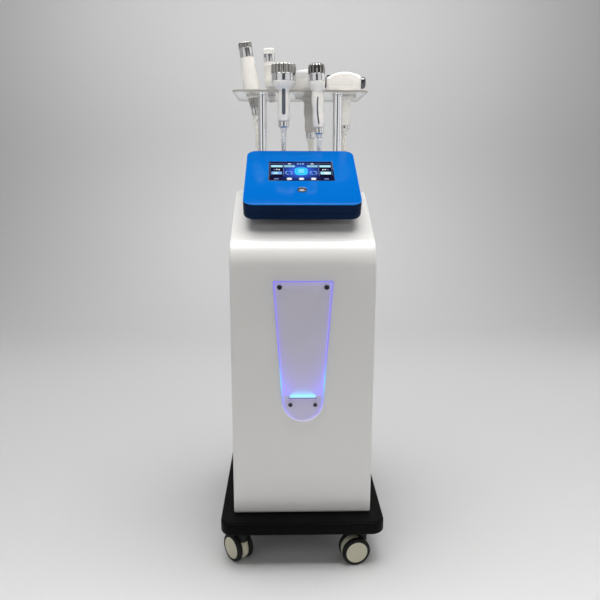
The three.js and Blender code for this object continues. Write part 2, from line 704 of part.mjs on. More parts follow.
// Pillars: chrome tubes with a foot flange and a cap under the shelf
function pillar() {
  const [low, high] = [cabinetTop + seat, shelfUnder - seat];
  const bore = pillarRadius - pillarWall;
  return turned([
    [bore, low], [pillarFlangeRadius, low], [pillarFlangeRadius, low + pillarFlange / 2],
    [pillarRadius + pillarWall, low + pillarFlange], [pillarRadius, low + pillarFlange],
    [pillarRadius, high - pillarCap], [pillarCapRadius, high - pillarCap],
    [pillarCapRadius, high], [bore, high], [bore, low]], fineSides);
}
piece(machine, 'pillar_left', pillar().translate(-pillarSpacing / 2, pillarFromFront, 0), chrome);
piece(machine, 'pillar_right', pillar().translate(pillarSpacing / 2, pillarFromFront, 0), chrome);

// Handpieces. Each stands in the shelf on its shoulder. Heights run up its own axis from the shoulder,
// x and y are where the axis meets the shelf, and lean tips the top towards -X. Below the shoulder
// everything is slimmer than the shelf's hole, so that the handpiece lifts out along its axis. Its tail
// is a chrome collar and the hose's boot, under a fluted sleeve where the handpiece has one. The lift
// probe has no hose: a plug closes its sleeve.
function placeOnAxis(name, height) {
  const { x, y, lean, shoulder } = handpieces[name];
  const raise = seat + shoulder * Math.sin(lean);
  const middle = x - (raise + shelfThickness / 2) * Math.tan(lean);
  return new THREE.Vector3(middle - height * Math.sin(lean), y, shelfTop + raise + height * Math.cos(lean));
}

function handpieceGroup(name) {
  const group = new THREE.Group();
  group.position.copy(placeOnAxis(name, 0));
  group.rotation.y = -handpieces[name].lean;
  machine.add(group);
  return group;
}

function tailHeights(name) {
  const high = handpieces[name].tailTop - seat;
  const collarTop = high - (sleeves[name]?.length ?? 0);
  const collarLow = collarTop - (collars[name]?.length ?? 0);
  return { high, collarTop, collarLow, bootLow: collarLow - (boots[name]?.length ?? 0) };
}

// A fluted sleeve, necked down where it passes through the shelf if it stands on its own shoulder
function flutedSleeve(name, low, high) {
  const { top, bottom, neck } = sleeves[name];
  const steps = neck ? [[neck, -seat], [handpieces[name].shoulder, seat]] : [];
  return lobed([[bottom, low - seat], ...steps, [top, high]], sleeveFlutes, sleeveFluteShare);
}

function plugTail(name) {
  const { high, collarTop } = tailHeights(name);
  const plug = rod(plugRadius, collarTop - plugLength, collarTop, roundSides);
  return join(plug, flutedSleeve(name, collarTop, high));
}

function hoseTail(name) {
  const [collar, boot] = [collars[name], boots[name]];
  const { high, collarTop, collarLow, bootLow } = tailHeights(name);
  const metal = turned([
    [0, bootLow], [boot.bottom, bootLow], [boot.top, collarLow], [collar.bottom, collarLow],
    [collar.top, collarLow + collar.chamfer], [collar.top, collarTop], [0, collarTop]]);
  const whole = sleeves[name] ? join(metal, flutedSleeve(name, collarTop, high)) : metal;
  return cut(whole, hoseSocket(bootLow - overrun, bootLow + hoseGrip + seat));
}

// Points of an outline from shares of a radius and of a height, starting at a given height
function outlineOf(shares, radius, height, low = 0) {
  return shares.map(([wideShare, upShare]) => [radius * wideShare, low + height * upShare]);
}

function addHandpiece(name, body, head, headMaterial, headName = 'head') {
  const group = handpieceGroup(name);
  piece(group, `${name}_body`, body, handleWhite);
  piece(group, `${name}_${headName}`, head, headMaterial);
  piece(group, `${name}_tail`, boots[name] ? hoseTail(name) : plugTail(name), chrome);
}

// Contour probe: a slim cone under a chrome band and a fluted crown
function contourBody({ tailTop, shoulder, neck, body }) {
  return turned([
    [0, tailTop], [neck, tailTop], [neck, -seat], [shoulder, seat],
    ...outlineOf(contourShares, body.radius, body.length), [0, body.length]], fineSides);
}

// Lift probe: a waved handle above the shelf
function liftBody({ tailTop, body }) {
  return turned([[0, tailTop], ...outlineOf(liftShares, body.radius, body.length, tailTop),
    [0, tailTop + body.length]], fineSides);
}

// A chrome band with a fluted crown on it, whose outline is in shares of the crown
function crownedHead(low, { radius, band, crown, flutes, fluteShare }, crownShares) {
  const ring = turned([[0, low], [radius, low], [radius, low + band], [0, low + band]], fineSides);
  const crownLow = low + band - seat;
  const teeth = lobed(outlineOf(crownShares, radius, crown + seat, crownLow), flutes, fluteShare);
  return join(ring, teeth);
}

// Body and face handpieces: a waved handle that flares into the head
function flaredBody({ tailTop, shoulder, holeRadius, head, body }) {
  const flare = flareShares.map(([wideShare, upShare]) =>
    [shoulder + (head.radius - shoulder) * wideShare, body.flare * upShare]);
  return turned([
    [0, tailTop], ...outlineOf(waveShares, body.radius, -tailTop, tailTop),
    [holeRadius - holeGap, -seat], [shoulder, seat], ...flare, [0, body.flare]], fineSides);
}

// Cavitation handpiece: a bowl that sits in a wide hole, on a waved handle
function bowlBody({ tailTop, shoulder, holeRadius, body }) {
  const grip = outlineOf(waveShares, body.radius, -body.depth - tailTop, tailTop);
  const under = bowlUnderShares.map(([wideShare, upShare]) =>
    [(holeRadius - holeGap) * wideShare, -body.depth * upShare]);
  return turned([
    [0, tailTop], ...grip, ...under, [holeRadius - holeGap, -seat], [shoulder, seat],
    ...outlineOf(bowlShares, body.bowlRadius, body.height), [0, body.height]], fineSides);
}

function puckHead(low, { radius, tall, edge, dish }) {
  return turned([
    [0, low], [radius, low], [radius - dish, low + tall - edge], [radius - edge, low + tall],
    [0, low + tall - dish]], fineSides);
}

// Roller handpiece: an arched hood, whose chamber is open behind and at both ends, around a drum
function rollerHood({ tailTop, shoulder, holeRadius, body, head: drum }) {
  const { offset, width, low, peak, sideLeft, sideRight, front, back, edge } = body;
  const [left, right] = [offset - width / 2, offset + width / 2];
  const arch = new THREE.Shape();
  arch.moveTo(left, low);
  arch.lineTo(right, low);
  arch.lineTo(right, sideRight);
  arch.quadraticCurveTo(right - width * archShare, peak, offset, peak);
  arch.quadraticCurveTo(left + width * archShare, peak, left, sideLeft);
  arch.closePath();
  const block = extruded(arch, -back, front, edge, 1, 6).rotateX(Math.PI / 2);
  const neck = turned([
    [0, tailTop], [body.handle, tailTop], [body.handle, -body.flare],
    [body.ring, body.ringHeight - body.flare], [holeRadius - holeGap, -seat], [shoulder, seat],
    [body.rim, low + edge], [0, low + edge]], fineSides);
  const chamber = drumSolid(drum, drum.radius + running, drum.length + 4 * drum.edge);
  return cut(join(block, neck), chamber);
}

function drumSolid({ grooveDepth, grooveWidth, edge, dome, back, height }, radius, length) {
  const [reach, groove] = [length / 2, grooveWidth / 2];
  const right = [[radius - grooveDepth, groove], [radius, groove + grooveDepth], [radius, reach - edge],
    [radius - edge, reach], [0, reach + dome]];
  const left = right.map(([wide, along]) => [wide, -along]).reverse();
  return turned([...left, ...right], fineSides).rotateY(Math.PI / 2).translate(0, back, height);
}

const sizesOf = (name) => ({ ...handpieces[name], body: bodies[name], head: heads[name] });

{
  const [contour, lift, bodyRf, faceRf, cavitation, roller] =
    ['contour_probe', 'lift_probe', 'body_rf', 'face_rf', 'cavitation', 'roller'].map(sizesOf);
  addHandpiece('contour_probe', contourBody(contour),
    crownedHead(contour.body.length + seat, contour.head, flatCrownShares), crownMetal);
  addHandpiece('lift_probe', liftBody(lift),
    crownedHead(lift.tailTop + lift.body.length + seat, lift.head, flatCrownShares), crownMetal);
  addHandpiece('body_rf', flaredBody(bodyRf),
    crownedHead(bodyRf.body.flare + seat, bodyRf.head, flatCrownShares), crownMetal);
  addHandpiece('face_rf', flaredBody(faceRf),
    crownedHead(faceRf.body.flare + seat, faceRf.head, domeCrownShares), crownMetal);
  addHandpiece('cavitation', bowlBody(cavitation),
    puckHead(cavitation.body.height + seat, cavitation.head), steelGrey);
  addHandpiece('roller', rollerHood(roller), drumSolid(roller.head, roller.head.radius, roller.head.length),
    chrome, 'drum');
}

// Hoses. Each leaves its boot along the handpiece's axis, passes over the cabinet's rear bend, hangs
// down behind the rear panel, turns up in a loop and comes back to its gland.
function arcPoints(y, z, radius, from, to, steps) {
  const points = [];
  for (let k = 0; k <= steps; k += 1) {
    const angle = from + (k / steps) * (to - from);
    points.push([y + radius * Math.cos(angle), z + radius * Math.sin(angle)]);
  }
  return points;
}

function hoseRoute(name, runX, endX) {
  const { y, frontRow } = handpieces[name];
  const { bootLow } = tailHeights(name);
  const [inBoot, exit, below] = [hoseGrip, 0, -hoseStraight].map((up) => placeOnAxis(name, bootLow + up));
  const downY = panelFace + hoseClearance + hoseRadius;
  const bendY = cabinetDepth - rearBend;
  const bendZ = cabinetTop - rearBend;
  const sweep = downY - bendY;
  const over = frontRow
    ? [...arcPoints(y + hoseBend, below.z, hoseBend, Math.PI, Math.PI * 1.25, 3).slice(1),
      ...arcPoints(bendY, bendZ, sweep, Math.PI / 4, 0, 2)]
    : drapeShares.map(([acrossShare, downShare]) =>
      [y + (downY - y) * acrossShare, bendZ + sweep * downShare]);
  const loopMiddle = (downY + loopBackY) / 2;
  const loopRadius = (loopBackY - downY) / 2;
  const entryY = panelFace + glandLength + hoseStraight;
  const gathered = plateTop + loopHeight + loopRadius;
  const turnRadius = loopBackY - entryY;
  const glandZ = plateTop + glandHeight;
  const down = [];
  for (let k = 1; k < downPoints; k += 1) {
    down.push([downY, bendZ + (gathered - bendZ) * (k / downPoints)]);
  }
  const loop = arcPoints(loopMiddle, gathered, loopRadius, Math.PI, 2 * Math.PI, 6);
  const turn = arcPoints(entryY, glandZ - turnRadius, turnRadius, 0, Math.PI / 2, 4);
  const inGland = [[entryY - hoseStraight, glandZ], [panelFace + glandLength - hoseGrip, glandZ]];
  const swing = (k) => below.x + (runX - below.x) * Math.min(1, (k + 1) / over.length);
  const before = [...over, ...down].map(([py, pz], k) => new THREE.Vector3(swing(k), py, pz));
  const across = loop.map(([py, pz], k) =>
    new THREE.Vector3(runX + (endX - runX) * (k / (loop.length - 1)), py, pz));
  const after = [...turn, ...inGland].map(([py, pz]) => new THREE.Vector3(endX, py, pz));
  return [inBoot, exit, below, ...before, ...across, ...after];
}

// A ribbed hose with its bore: ribs on the first stretch and a plain wall beyond them
function ribbedHose(route) {
  const curve = new THREE.CatmullRomCurve3(route, false, 'centripetal');
  curve.arcLengthDivisions = route.length * 40;
  const length = curve.getLength();
  const ribsFrom = hoseGrip + hoseStraight;
  const ribsTo = ribsFrom + ribCount * ribPitch;
  const plain = [...Array(Math.ceil((length - ribsTo - ribsFrom) / plainStep)).keys()];
  const plainEnd = length - ribsFrom;
  const stretch = (plainEnd - ribsTo) / plain.length;
  const outer = [[0, hoseRoot], [ribsFrom, hoseRoot]];
  for (let rib = 0; rib < ribCount; rib += 1) {
    const middle = ribsFrom + (rib + 0.5) * ribPitch;
    outer.push([middle, hoseRadius], [middle + ribPitch / 2, hoseRoot]);
  }
  outer.push(...plain.map((k) => [ribsTo + (k + 1) * stretch, hoseRoot]), [length, hoseRoot]);
  const onBore = (along, k) => k < 2 || along > ribsTo || (k - 1) % (2 * boreStride) === 0;
  const inner = outer.filter(([along], k) => onBore(along, k))
    .map(([along]) => [along, hoseBore]);
  const rings = [...outer, ...inner.reverse()];
  const frames = frameAlong(curve, length);
  const corners = rings.flatMap(([along, radius]) => frames(along, radius));
  const faces = [];
  for (let ring = 0; ring < rings.length; ring += 1) {
    const [low, high] = [ring * hoseSides, ((ring + 1) % rings.length) * hoseSides];
    for (let k = 0; k < hoseSides; k += 1) {
      const next = (k + 1) % hoseSides;
      faces.push(low + k, low + next, high + next, low + k, high + next, high + k);
    }
  }
  const geometry = new THREE.BufferGeometry();
  geometry.setAttribute('position', new THREE.Float32BufferAttribute(corners.flat(), 3));
  geometry.setIndex(faces);
  return { geometry, length };
}

// Rings across the curve: every ring is turned from the sideways direction, so that none twists
function frameAlong(curve, length) {
  const across = new THREE.Vector3(1, 0, 0);
  return (along, radius) => {
    const place = curve.getPointAt(Math.min(1, along / length));
    const ahead = curve.getTangentAt(Math.min(1, along / length));
    const up = new THREE.Vector3().crossVectors(ahead, across).normalize();
    const side = new THREE.Vector3().crossVectors(up, ahead);
    return [...Array(hoseSides).keys()].map((k) => {
      const angle = (k / hoseSides) * 2 * Math.PI;
      return place.clone().addScaledVector(side, radius * Math.cos(angle))
        .addScaledVector(up, radius * Math.sin(angle)).toArray();
    });
  };
}

Object.keys(runPlaces).forEach((name) => {
  const { geometry, length } = ribbedHose(hoseRoute(name, runPlaces[name], glandX(name)));
  piece(machine, `${name}_hose`, geometry, hoseIvory);
  console.log(`${name}_hose is ${Math.round(length)} mm long`);
});

// Shelf of clear acrylic: round holes for the back row, open slots for the front row
const shelfShape = new THREE.Shape();
{
  const [x, front, back] = [shelfWidth / 2, shelfFront, shelfBackY];
  const quarter = Math.PI / 2;
  shelfShape.moveTo(shelfCorner - x, front);
  for (const slot of [handpieces.body_rf, handpieces.face_rf]) {
    shelfShape.lineTo(slot.x - slot.holeRadius, front);
    shelfShape.absarc(slot.x, slot.y, slot.holeRadius, 2 * quarter, quarter, true);
    shelfShape.absarc(slot.x, slot.y, slot.holeRadius, quarter, 0, true);
    shelfShape.lineTo(slot.x + slot.holeRadius, front);
  }
  shelfShape.absarc(x - shelfCorner, front + shelfCorner, shelfCorner, -quarter, 0);
  shelfShape.absarc(x - shelfCorner, back - shelfCorner, shelfCorner, 0, quarter);
  shelfShape.absarc(shelfCorner - x, back - shelfCorner, shelfCorner, quarter, 2 * quarter);
  shelfShape.absarc(shelfCorner - x, front + shelfCorner, shelfCorner, 2 * quarter, 3 * quarter);
  for (const { x: holeX, y: holeY, holeRadius } of backRow.map((name) => handpieces[name])) {
    const hole = new THREE.Path();
    for (let k = 0; k < 4; k += 1) hole.absarc(holeX, holeY, holeRadius, k * quarter, (k + 1) * quarter);
    shelfShape.holes.push(hole);
  }
}
piece(machine, 'shelf', extruded(shelfShape, shelfUnder, shelfTop, 0, 1, 3), acrylic);

// Inside the cabinet, on the base plate
const floorZ = plateTop + seat;
const pumpMiddleY = cabinetDepth - pumpFromRear - pumpHead / 2;
const insideRoom = pumpMiddleY - pumpHead / 2 - insideGap - insideFromFront;

function powerSupply() {
  const [widthShare, depthShare, tallShare] = terminalShares;
  const terminalDepth = insideRoom * depthShare;
  const supplyDepth = insideRoom - terminalDepth;
  const terminalTop = floorZ + supplyTall * tallShare;
  const terminals = slab(supplyWidth * widthShare, terminalDepth + overrun, floorZ, terminalTop)
    .translate(0, (supplyDepth + terminalDepth - overrun) / 2, 0);
  return join(slab(supplyWidth, supplyDepth, floorZ, floorZ + supplyTall), terminals)
    .translate(-supplyX, insideFromFront + supplyDepth / 2, 0);
}

const supplyX = half - insideFromSide - supplyWidth / 2;
const sinkX = half - insideFromSide - sinkWidth / 2;
const sinkDepth = insideRoom * sinkDepthShare;
const sinkMiddleY = insideFromFront + sinkDepth / 2;

function heatSink() {
  const fins = [];
  for (let k = 0; k < finCount; k += 1) {
    const x = (k / (finCount - 1) - 0.5) * (sinkWidth - finThickness);
    const low = floorZ + sinkBase / 2;
    fins.push(slab(finThickness, sinkDepth, low, low + sinkBase / 2 + finTall).translate(x, 0, 0));
  }
  return join(slab(sinkWidth, sinkDepth, floorZ, floorZ + sinkBase), ...fins)
    .translate(sinkX, sinkMiddleY, 0);
}

function generatorBoard() {
  const [coilLow, coilHigh] = coilHeightShares.map((upShare) => floorZ + boardTall * upShare);
  const coil = slab(coilReach, sinkDepth * coilDepthShare, coilLow, coilHigh).translate(-coilReach / 2, 0, 0);
  const boardX = sinkX - sinkWidth / 2 - seat - boardThickness / 2;
  return join(slab(boardThickness, sinkDepth, floorZ, floorZ + boardTall), coil)
    .translate(boardX, sinkMiddleY, 0);
}

// A motor lying across the cabinet, with its pump head at one end, on a foot
function vacuumPump() {
  const motorZ = floorZ + pumpFoot + pumpRadius;
  const headWidth = pumpHead * pumpHeadShare;
  const headLow = floorZ + pumpFoot / 2;
  const motor = rod(pumpRadius, -pumpLength / 2, pumpLength / 2 + overrun, roundSides)
    .rotateY(Math.PI / 2).translate(0, 0, motorZ);
  const head = slab(headWidth, pumpHead, headLow, headLow + pumpHead)
    .translate((pumpLength + headWidth) / 2, 0, 0);
  const foot = slab(pumpLength + headWidth, pumpHead, floorZ, floorZ + pumpFoot)
    .translate(headWidth / 2, 0, 0);
  return join(motor, head, foot).translate(0, pumpMiddleY, 0);
}

piece(machine, 'power_supply', powerSupply(), motorMetal);
piece(machine, 'heat_sink', heatSink(), steelGrey);
piece(machine, 'generator_board', generatorBoard(), boardGreen);
piece(machine, 'vacuum_pump', vacuumPump(), motorMetal);

export default machine;
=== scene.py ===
"""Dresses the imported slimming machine, in millimetres of the model's frame, +Z up and front to -Y."""

from bisect import bisect_right
from math import cos, degrees, exp, pi, radians, sin, sqrt, tan

import bmesh
import bpy
from mathutils import Matrix, Vector


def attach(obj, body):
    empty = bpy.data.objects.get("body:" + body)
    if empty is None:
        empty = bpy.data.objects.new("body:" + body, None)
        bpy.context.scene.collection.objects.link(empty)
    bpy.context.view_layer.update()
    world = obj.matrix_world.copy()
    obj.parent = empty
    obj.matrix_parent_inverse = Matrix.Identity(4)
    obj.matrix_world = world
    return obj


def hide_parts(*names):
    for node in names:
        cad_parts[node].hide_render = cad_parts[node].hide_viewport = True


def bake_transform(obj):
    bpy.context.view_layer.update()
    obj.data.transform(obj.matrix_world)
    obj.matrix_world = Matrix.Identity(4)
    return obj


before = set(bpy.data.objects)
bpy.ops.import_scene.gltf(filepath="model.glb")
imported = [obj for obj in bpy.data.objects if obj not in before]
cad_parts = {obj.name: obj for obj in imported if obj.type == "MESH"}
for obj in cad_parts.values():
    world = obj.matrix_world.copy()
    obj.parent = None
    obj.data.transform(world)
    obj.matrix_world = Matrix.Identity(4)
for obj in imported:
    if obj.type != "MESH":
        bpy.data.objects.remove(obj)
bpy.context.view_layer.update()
MM = 0.001

# Shared datums of the machine
FRONT = -274.0  # the cabinet's front plane
DECK = 130.4  # top of the base plate
CABINET_WIDTH = 360.0
CABINET_DEPTH = 460.0
CABINET_TOP = DECK + 828.0
REAR_FACE = FRONT + CABINET_DEPTH + 2.3  # outside of the rear panel
REAR_BEND = 70.0  # radius between the cabinet's top and its back
SHELF_UNDER = DECK + 1099.0
SHELF_THICK = 6.0
SEAT = 0.3  # gap between pieces that touch


def add_object(name, data):
    thing = bpy.data.objects.new(name, data)
    bpy.context.scene.collection.objects.link(thing)
    return thing


# Outlines
def fillet(points, steps=5):
    """A polyline whose points may carry a third value, the radius that rounds the corner."""
    line = []
    for k, point in enumerate(points):
        here = Vector(point[:2])
        if len(point) < 3 or k in (0, len(points) - 1):
            line.append(tuple(here))
            continue
        back = Vector(points[k - 1][:2]) - here
        ahead = Vector(points[k + 1][:2]) - here
        reach = min(point[2], back.length / 2, ahead.length / 2)
        start, end = here + back.normalized() * reach, here + ahead.normalized() * reach
        for step in range(steps + 1):
            t = step / steps
            line.append(tuple(start * (1 - t) ** 2 + here * (2 * t * (1 - t)) + end * t * t))
    return line


def flowing(points, steps=6):
    """A smooth line through points of any dimension, with even steps between them."""
    knots = [Vector(p) for p in points]
    knots = [knots[0] * 2 - knots[1]] + knots + [knots[-1] * 2 - knots[-2]]
    line = []
    for a, b, c, d in zip(knots, knots[1:], knots[2:], knots[3:]):
        gaps = [max((q - p).length, 1e-6) ** 0.5 for p, q in ((a, b), (b, c), (c, d))]
        leave = ((b - a) / gaps[0] - (c - a) / (gaps[0] + gaps[1]) + (c - b) / gaps[1]) * gaps[1]
        reach = ((c - b) / gaps[1] - (d - b) / (gaps[1] + gaps[2]) + (d - c) / gaps[2]) * gaps[1]
        for step in range(steps):
            t = step / steps
            square, cube = t * t, t * t * t
            line.append(b * (2 * cube - 3 * square + 1) + leave * (cube - 2 * square + t)
                        + c * (3 * square - 2 * cube) + reach * (cube - square))
    return line + [knots[-2]]


def arc(centre, radius, start, end, steps=8):
    """Points of an arc between two angles in degrees."""
    angles = [radians(start + (end - start) * k / steps) for k in range(steps + 1)]
    return [(centre[0] + radius * cos(a), centre[1] + radius * sin(a)) for a in angles]


def quarter(steps):
    """Angles from nothing to a right angle."""
    return [pi / 2 * k / steps for k in range(steps + 1)]


def plan(width, depth, corner, inset=0.0, steps=8):
    """A rounded rectangle in plan, drawn in by inset."""
    x, y, radius = width / 2 - corner, depth / 2 - corner, max(corner - inset, 0.01)
    return (arc((x, -y), radius, -90, 0, steps) + arc((x, y), radius, 0, 90, steps)
            + arc((-x, y), radius, 90, 180, steps) + arc((-x, -y), radius, 180, 270, steps))


def edge_profile(low, high, bottom, top, steps=4):
    """(inset, height) pairs of an upright edge with rounded ends."""
    turns = quarter(steps)
    under = [(bottom * (1 - sin(a)), low + bottom * (1 - cos(a))) for a in turns]
    over = [(top * (1 - cos(a)), high - top * (1 - sin(a))) for a in turns]
    return (under if bottom else [(0, low)]) + (over if top else [(0, high)])


AXES = {"X": lambda u, v, up: (up, u, v), "Y": lambda u, v, up: (v, up, u), "Z": lambda u, v, up: (u, v, up)}


class Shape:
    """Vertices and faces, gathered in millimetres before they become one mesh."""

    def __init__(self, place=None):
        self.verts, self.faces, self.slots = [], [], []
        self.place = place or Matrix()

    def ring(self, points):
        first = len(self.verts)
        self.verts += points
        return list(range(first, len(self.verts)))

    def face(self, indices, slot=0):
        self.faces.append(indices)
        self.slots.append(slot)

    def bridge(self, a, b, slot=0, closed=True):
        count = max(len(a), len(b))
        for k in range(count if closed else count - 1):
            j = (k + 1) % count
            if len(b) == 1:
                self.face([a[k], a[j], b[0]], slot)
            elif len(a) == 1:
                self.face([a[0], b[j], b[k]], slot)
            else:
                self.face([a[k], a[j], b[j], b[k]], slot)

    def loft(self, loops, slot=0, caps=(0, 0), closed=True):
        """Skins loops one after another. A slot may be a list, one for each span."""
        rings = [self.ring(loop) for loop in loops]
        for k, (a, b) in enumerate(zip(rings, rings[1:])):
            self.bridge(a, b, slot[k] if isinstance(slot, list) else slot, closed)
        for ring, cap in ((rings[0][::-1], caps[0]), (rings[-1], caps[1])):
            if cap is not None:
                self.face(ring, cap)

    def sheet(self, rows, slot=0):
        """Skins open rows one after another."""
        self.loft(rows, slot, (None, None), False)

    def slab(self, width, depth, corner, profile, centre=(0, 0), slot=0, caps=(0, 0)):
        loops = [[(x + centre[0], y + centre[1], z) for x, y in plan(width, depth, corner, inset)]
                 for inset, z in profile]
        self.loft(loops, slot, caps)

    def turn(self, profile, segments=56, slot=0, wave=None, at=(0, 0, 0), axis="Z"):
        """Turns (radius, height) points about an axis; wave(angle) scales a radius."""
        angles = [2 * pi * k / segments for k in range(segments)]
        waves = [wave(a) if wave else 1 for a in angles]
        loops = []
        for radius, height in profile:
            circle = [(radius * w * cos(a), radius * w * sin(a)) for a, w in zip(angles, waves)]
            if radius < 1e-4:
                circle = [(0, 0)]
            loops.append([Vector(AXES[axis](u, v, height)) + Vector(at) for u, v in circle])
        self.loft(loops, slot, (None, None))

    def box(self, low, high, slot=0):
        corners = self.ring([(x, y, z) for z in (low[2], high[2]) for y in (low[1], high[1])
                             for x in (low[0], high[0])])
        for quad in ((0, 2, 3, 1), (4, 5, 7, 6), (0, 1, 5, 4), (2, 6, 7, 3), (0, 4, 6, 2), (1, 3, 7, 5)):
            self.face([corners[k] for k in quad], slot)

    def make(self, name, materials, replaces=(), body="machine", angle=32):
        mesh = bpy.data.meshes.new(name)
        mesh.from_pydata([self.place @ Vector(v) * MM for v in self.verts], [], self.faces)
        mesh.polygons.foreach_set("material_index", self.slots)
        for material in materials:
            mesh.materials.append(material)
        work = bmesh.new()
        work.from_mesh(mesh)
        bmesh.ops.recalc_face_normals(work, faces=work.faces)
        work.to_mesh(mesh)
        work.free()
        mesh.polygons.foreach_set("use_smooth", [True] * len(mesh.polygons))
        mesh.set_sharp_from_angle(angle=radians(angle))
        piece = add_object(name, mesh)
        if body:
            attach(piece, body)
        if replaces:
            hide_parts(*replaces)
        return piece


# Materials
def shader_of(material):
    return material.node_tree.nodes["Principled BSDF"]


def principled(name, color, roughness, metallic=0.0, **sockets):
    material = bpy.data.materials.new(name)
    material.use_nodes = True
    shader = shader_of(material)
    shader.inputs["Base Color"].default_value = (*color, 1)
    shader.inputs["Roughness"].default_value = roughness
    shader.inputs["Metallic"].default_value = metallic
    for socket, value in sockets.items():
        shader.inputs[socket.replace("_", " ")].default_value = value
    return material


def add_node(material, kind, **values):
    node = material.node_tree.nodes.new(f"ShaderNode{kind}")
    for key, value in values.items():
        if key in node.inputs:
            node.inputs[key].default_value = value
        else:
            setattr(node, key, value)
    return node


def link(source, target):
    source.id_data.links.new(source, target)


def noise(material, scale, detail=3.0, stretch=None):
    where = add_node(material, "TexCoord")
    field = add_node(material, "TexNoise", Scale=scale, Detail=detail)
    out = where.outputs["Object"]
    if stretch:
        mapping = add_node(material, "Mapping")
        mapping.inputs["Scale"].default_value = stretch
        link(out, mapping.inputs["Vector"])
        out = mapping.outputs["Vector"]
    link(out, field.inputs["Vector"])
    return field.outputs["Fac"]


def ramp(material, source, stops):
    node = add_node(material, "ValToRGB")
    elements = node.color_ramp.elements
    while len(elements) < len(stops):
        elements.new(0.5)
    for element, (position, color) in zip(elements, stops):
        element.position = position
        element.color = (*color, 1) if isinstance(color, tuple) else (color,) * 3 + (1,)
    link(source, node.inputs["Fac"])
    return node.outputs["Color"]


def worn(name, scale, rough, color, drift=None, grain=None, stretch=None, metal=0.0, **sockets):
    """A finish of uneven roughness, with a drift between two colours and a fine grain, each from noise."""
    material = principled(name, color, rough[0], metal, **sockets)
    shader = shader_of(material)
    field = noise(material, scale, 4.0, stretch)
    link(ramp(material, field, [(0.3, rough[0]), (0.7, rough[1])]), shader.inputs["Roughness"])
    if drift:
        field = noise(material, scale / 3)
        link(ramp(material, field, [(0.35, color), (0.65, drift)]), shader.inputs["Base Color"])
    if grain:
        fineness, strength = grain
        bump = add_node(material, "Bump", Strength=strength, Distance=0.0004)
        link(noise(material, fineness, 2.0, stretch), bump.inputs["Height"])
        link(bump.outputs["Normal"], shader.inputs["Normal"])
    return material


def sheer(name, tint, gloss, clear, haze_color=(0.82, 0.82, 0.8)):
    """A thin clear sheet: tinted, mostly see-through, with a gloss that grows at a glance."""
    material = bpy.data.materials.new(name)
    material.use_nodes = True
    nodes = material.node_tree.nodes
    nodes.remove(nodes["Principled BSDF"])
    passing = add_node(material, "BsdfTransparent", Color=(*tint, 1))
    shine = add_node(material, "BsdfGlossy", Color=(0.95, 0.96, 1, 1), Roughness=gloss)
    haze = add_node(material, "BsdfDiffuse", Color=(*haze_color, 1))
    facing = add_node(material, "LayerWeight", Blend=0.5)
    glance = add_node(material, "Math", operation="POWER")
    shade = add_node(material, "Math", operation="MULTIPLY_ADD")
    steepness, at_a_glance, face_on = 5, 0.6, 0.03
    glance.inputs[1].default_value = steepness
    shade.inputs[1].default_value = at_a_glance
    shade.inputs[2].default_value = face_on
    link(facing.outputs["Facing"], glance.inputs[0])
    link(glance.outputs[0], shade.inputs[0])
    body = add_node(material, "MixShader", Fac=1 - clear)
    whole = add_node(material, "MixShader")
    link(passing.outputs[0], body.inputs[1])
    link(haze.outputs[0], body.inputs[2])
    link(shade.outputs[0], whole.inputs[0])
    link(body.outputs[0], whole.inputs[1])
    link(shine.outputs[0], whole.inputs[2])
    link(whole.outputs[0], nodes["Material Output"].inputs["Surface"])
    return material


def painted(name, color):
    """A material whose own light comes from the colours painted on the mesh."""
    material = principled(name, color, 0.6, Specular_IOR_Level=0, Emission_Strength=1)
    tint = add_node(material, "Attribute", attribute_name="glow")
    link(tint.outputs["Color"], shader_of(material).inputs["Emission Color"])
    return material


def paint(piece, colors):
    layer = piece.data.color_attributes.new("glow", "FLOAT_COLOR", "POINT")
    layer.data.foreach_set("color", [channel for color in colors for channel in (*color, 1)])


NIGHT = (0.002, 0.002, 0.003)


def glowing(name, color):
    return principled(name, NIGHT, 0.6, Specular_IOR_Level=0, Emission_Color=(*color, 1), Emission_Strength=1)


white_paint = worn("white_paint", 4, (0.28, 0.33), (0.81, 0.8, 0.775), (0.835, 0.825, 0.8), (700, 0.03),
                   Coat_Weight=0.6, Coat_Roughness=0.08)
black_plate = worn("black_plate", 9, (0.4, 0.6), (0.001, 0.001, 0.001), (0.003, 0.003, 0.003), (900, 0.12),
                   Specular_IOR_Level=0.06)
tyre = worn("tyre", 30, (0.55, 0.8), (0.004, 0.004, 0.004), (0.008, 0.008, 0.007), (1200, 0.2),
            Specular_IOR_Level=0.3)
disc_beige = worn("disc_beige", 20, (0.34, 0.5), (0.56, 0.53, 0.4), (0.64, 0.61, 0.47), (1500, 0.06))
steel = worn("steel", 40, (0.22, 0.4), (0.55, 0.56, 0.58), None, (900, 0.05), metal=1)
chrome = worn("chrome", 12, (0.04, 0.12), (0.86, 0.87, 0.89), metal=1)
satin = worn("satin", 12, (0.13, 0.22), (0.74, 0.74, 0.75), metal=1)
dark_chrome = worn("dark_chrome", 12, (0.1, 0.2), (0.16, 0.16, 0.17), metal=1)
screw_steel = worn("screw_steel", 12, (0.22, 0.36), (0.07, 0.07, 0.075), metal=1)
brushed = worn("brushed", 60, (0.2, 0.34), (0.52, 0.505, 0.48), None, (900, 0.06), (1, 1, 0.06), metal=1)
blue_top = worn("blue_top", 6, (0.36, 0.5), (0, 0.114, 0.44), (0, 0.126, 0.485), (1600, 0.01),
                Specular_IOR_Level=0, Coat_Weight=0.2, Coat_IOR=1.45, Coat_Roughness=0.1)
# A brighter copy of the console's blue for the rounded band at the top's edge: a painted highlight.
blue_edge_painted_highlight = worn("blue_edge_painted_highlight", 8, (0.25, 0.35), (0, 0.24, 0.8), Specular_IOR_Level=0.2)
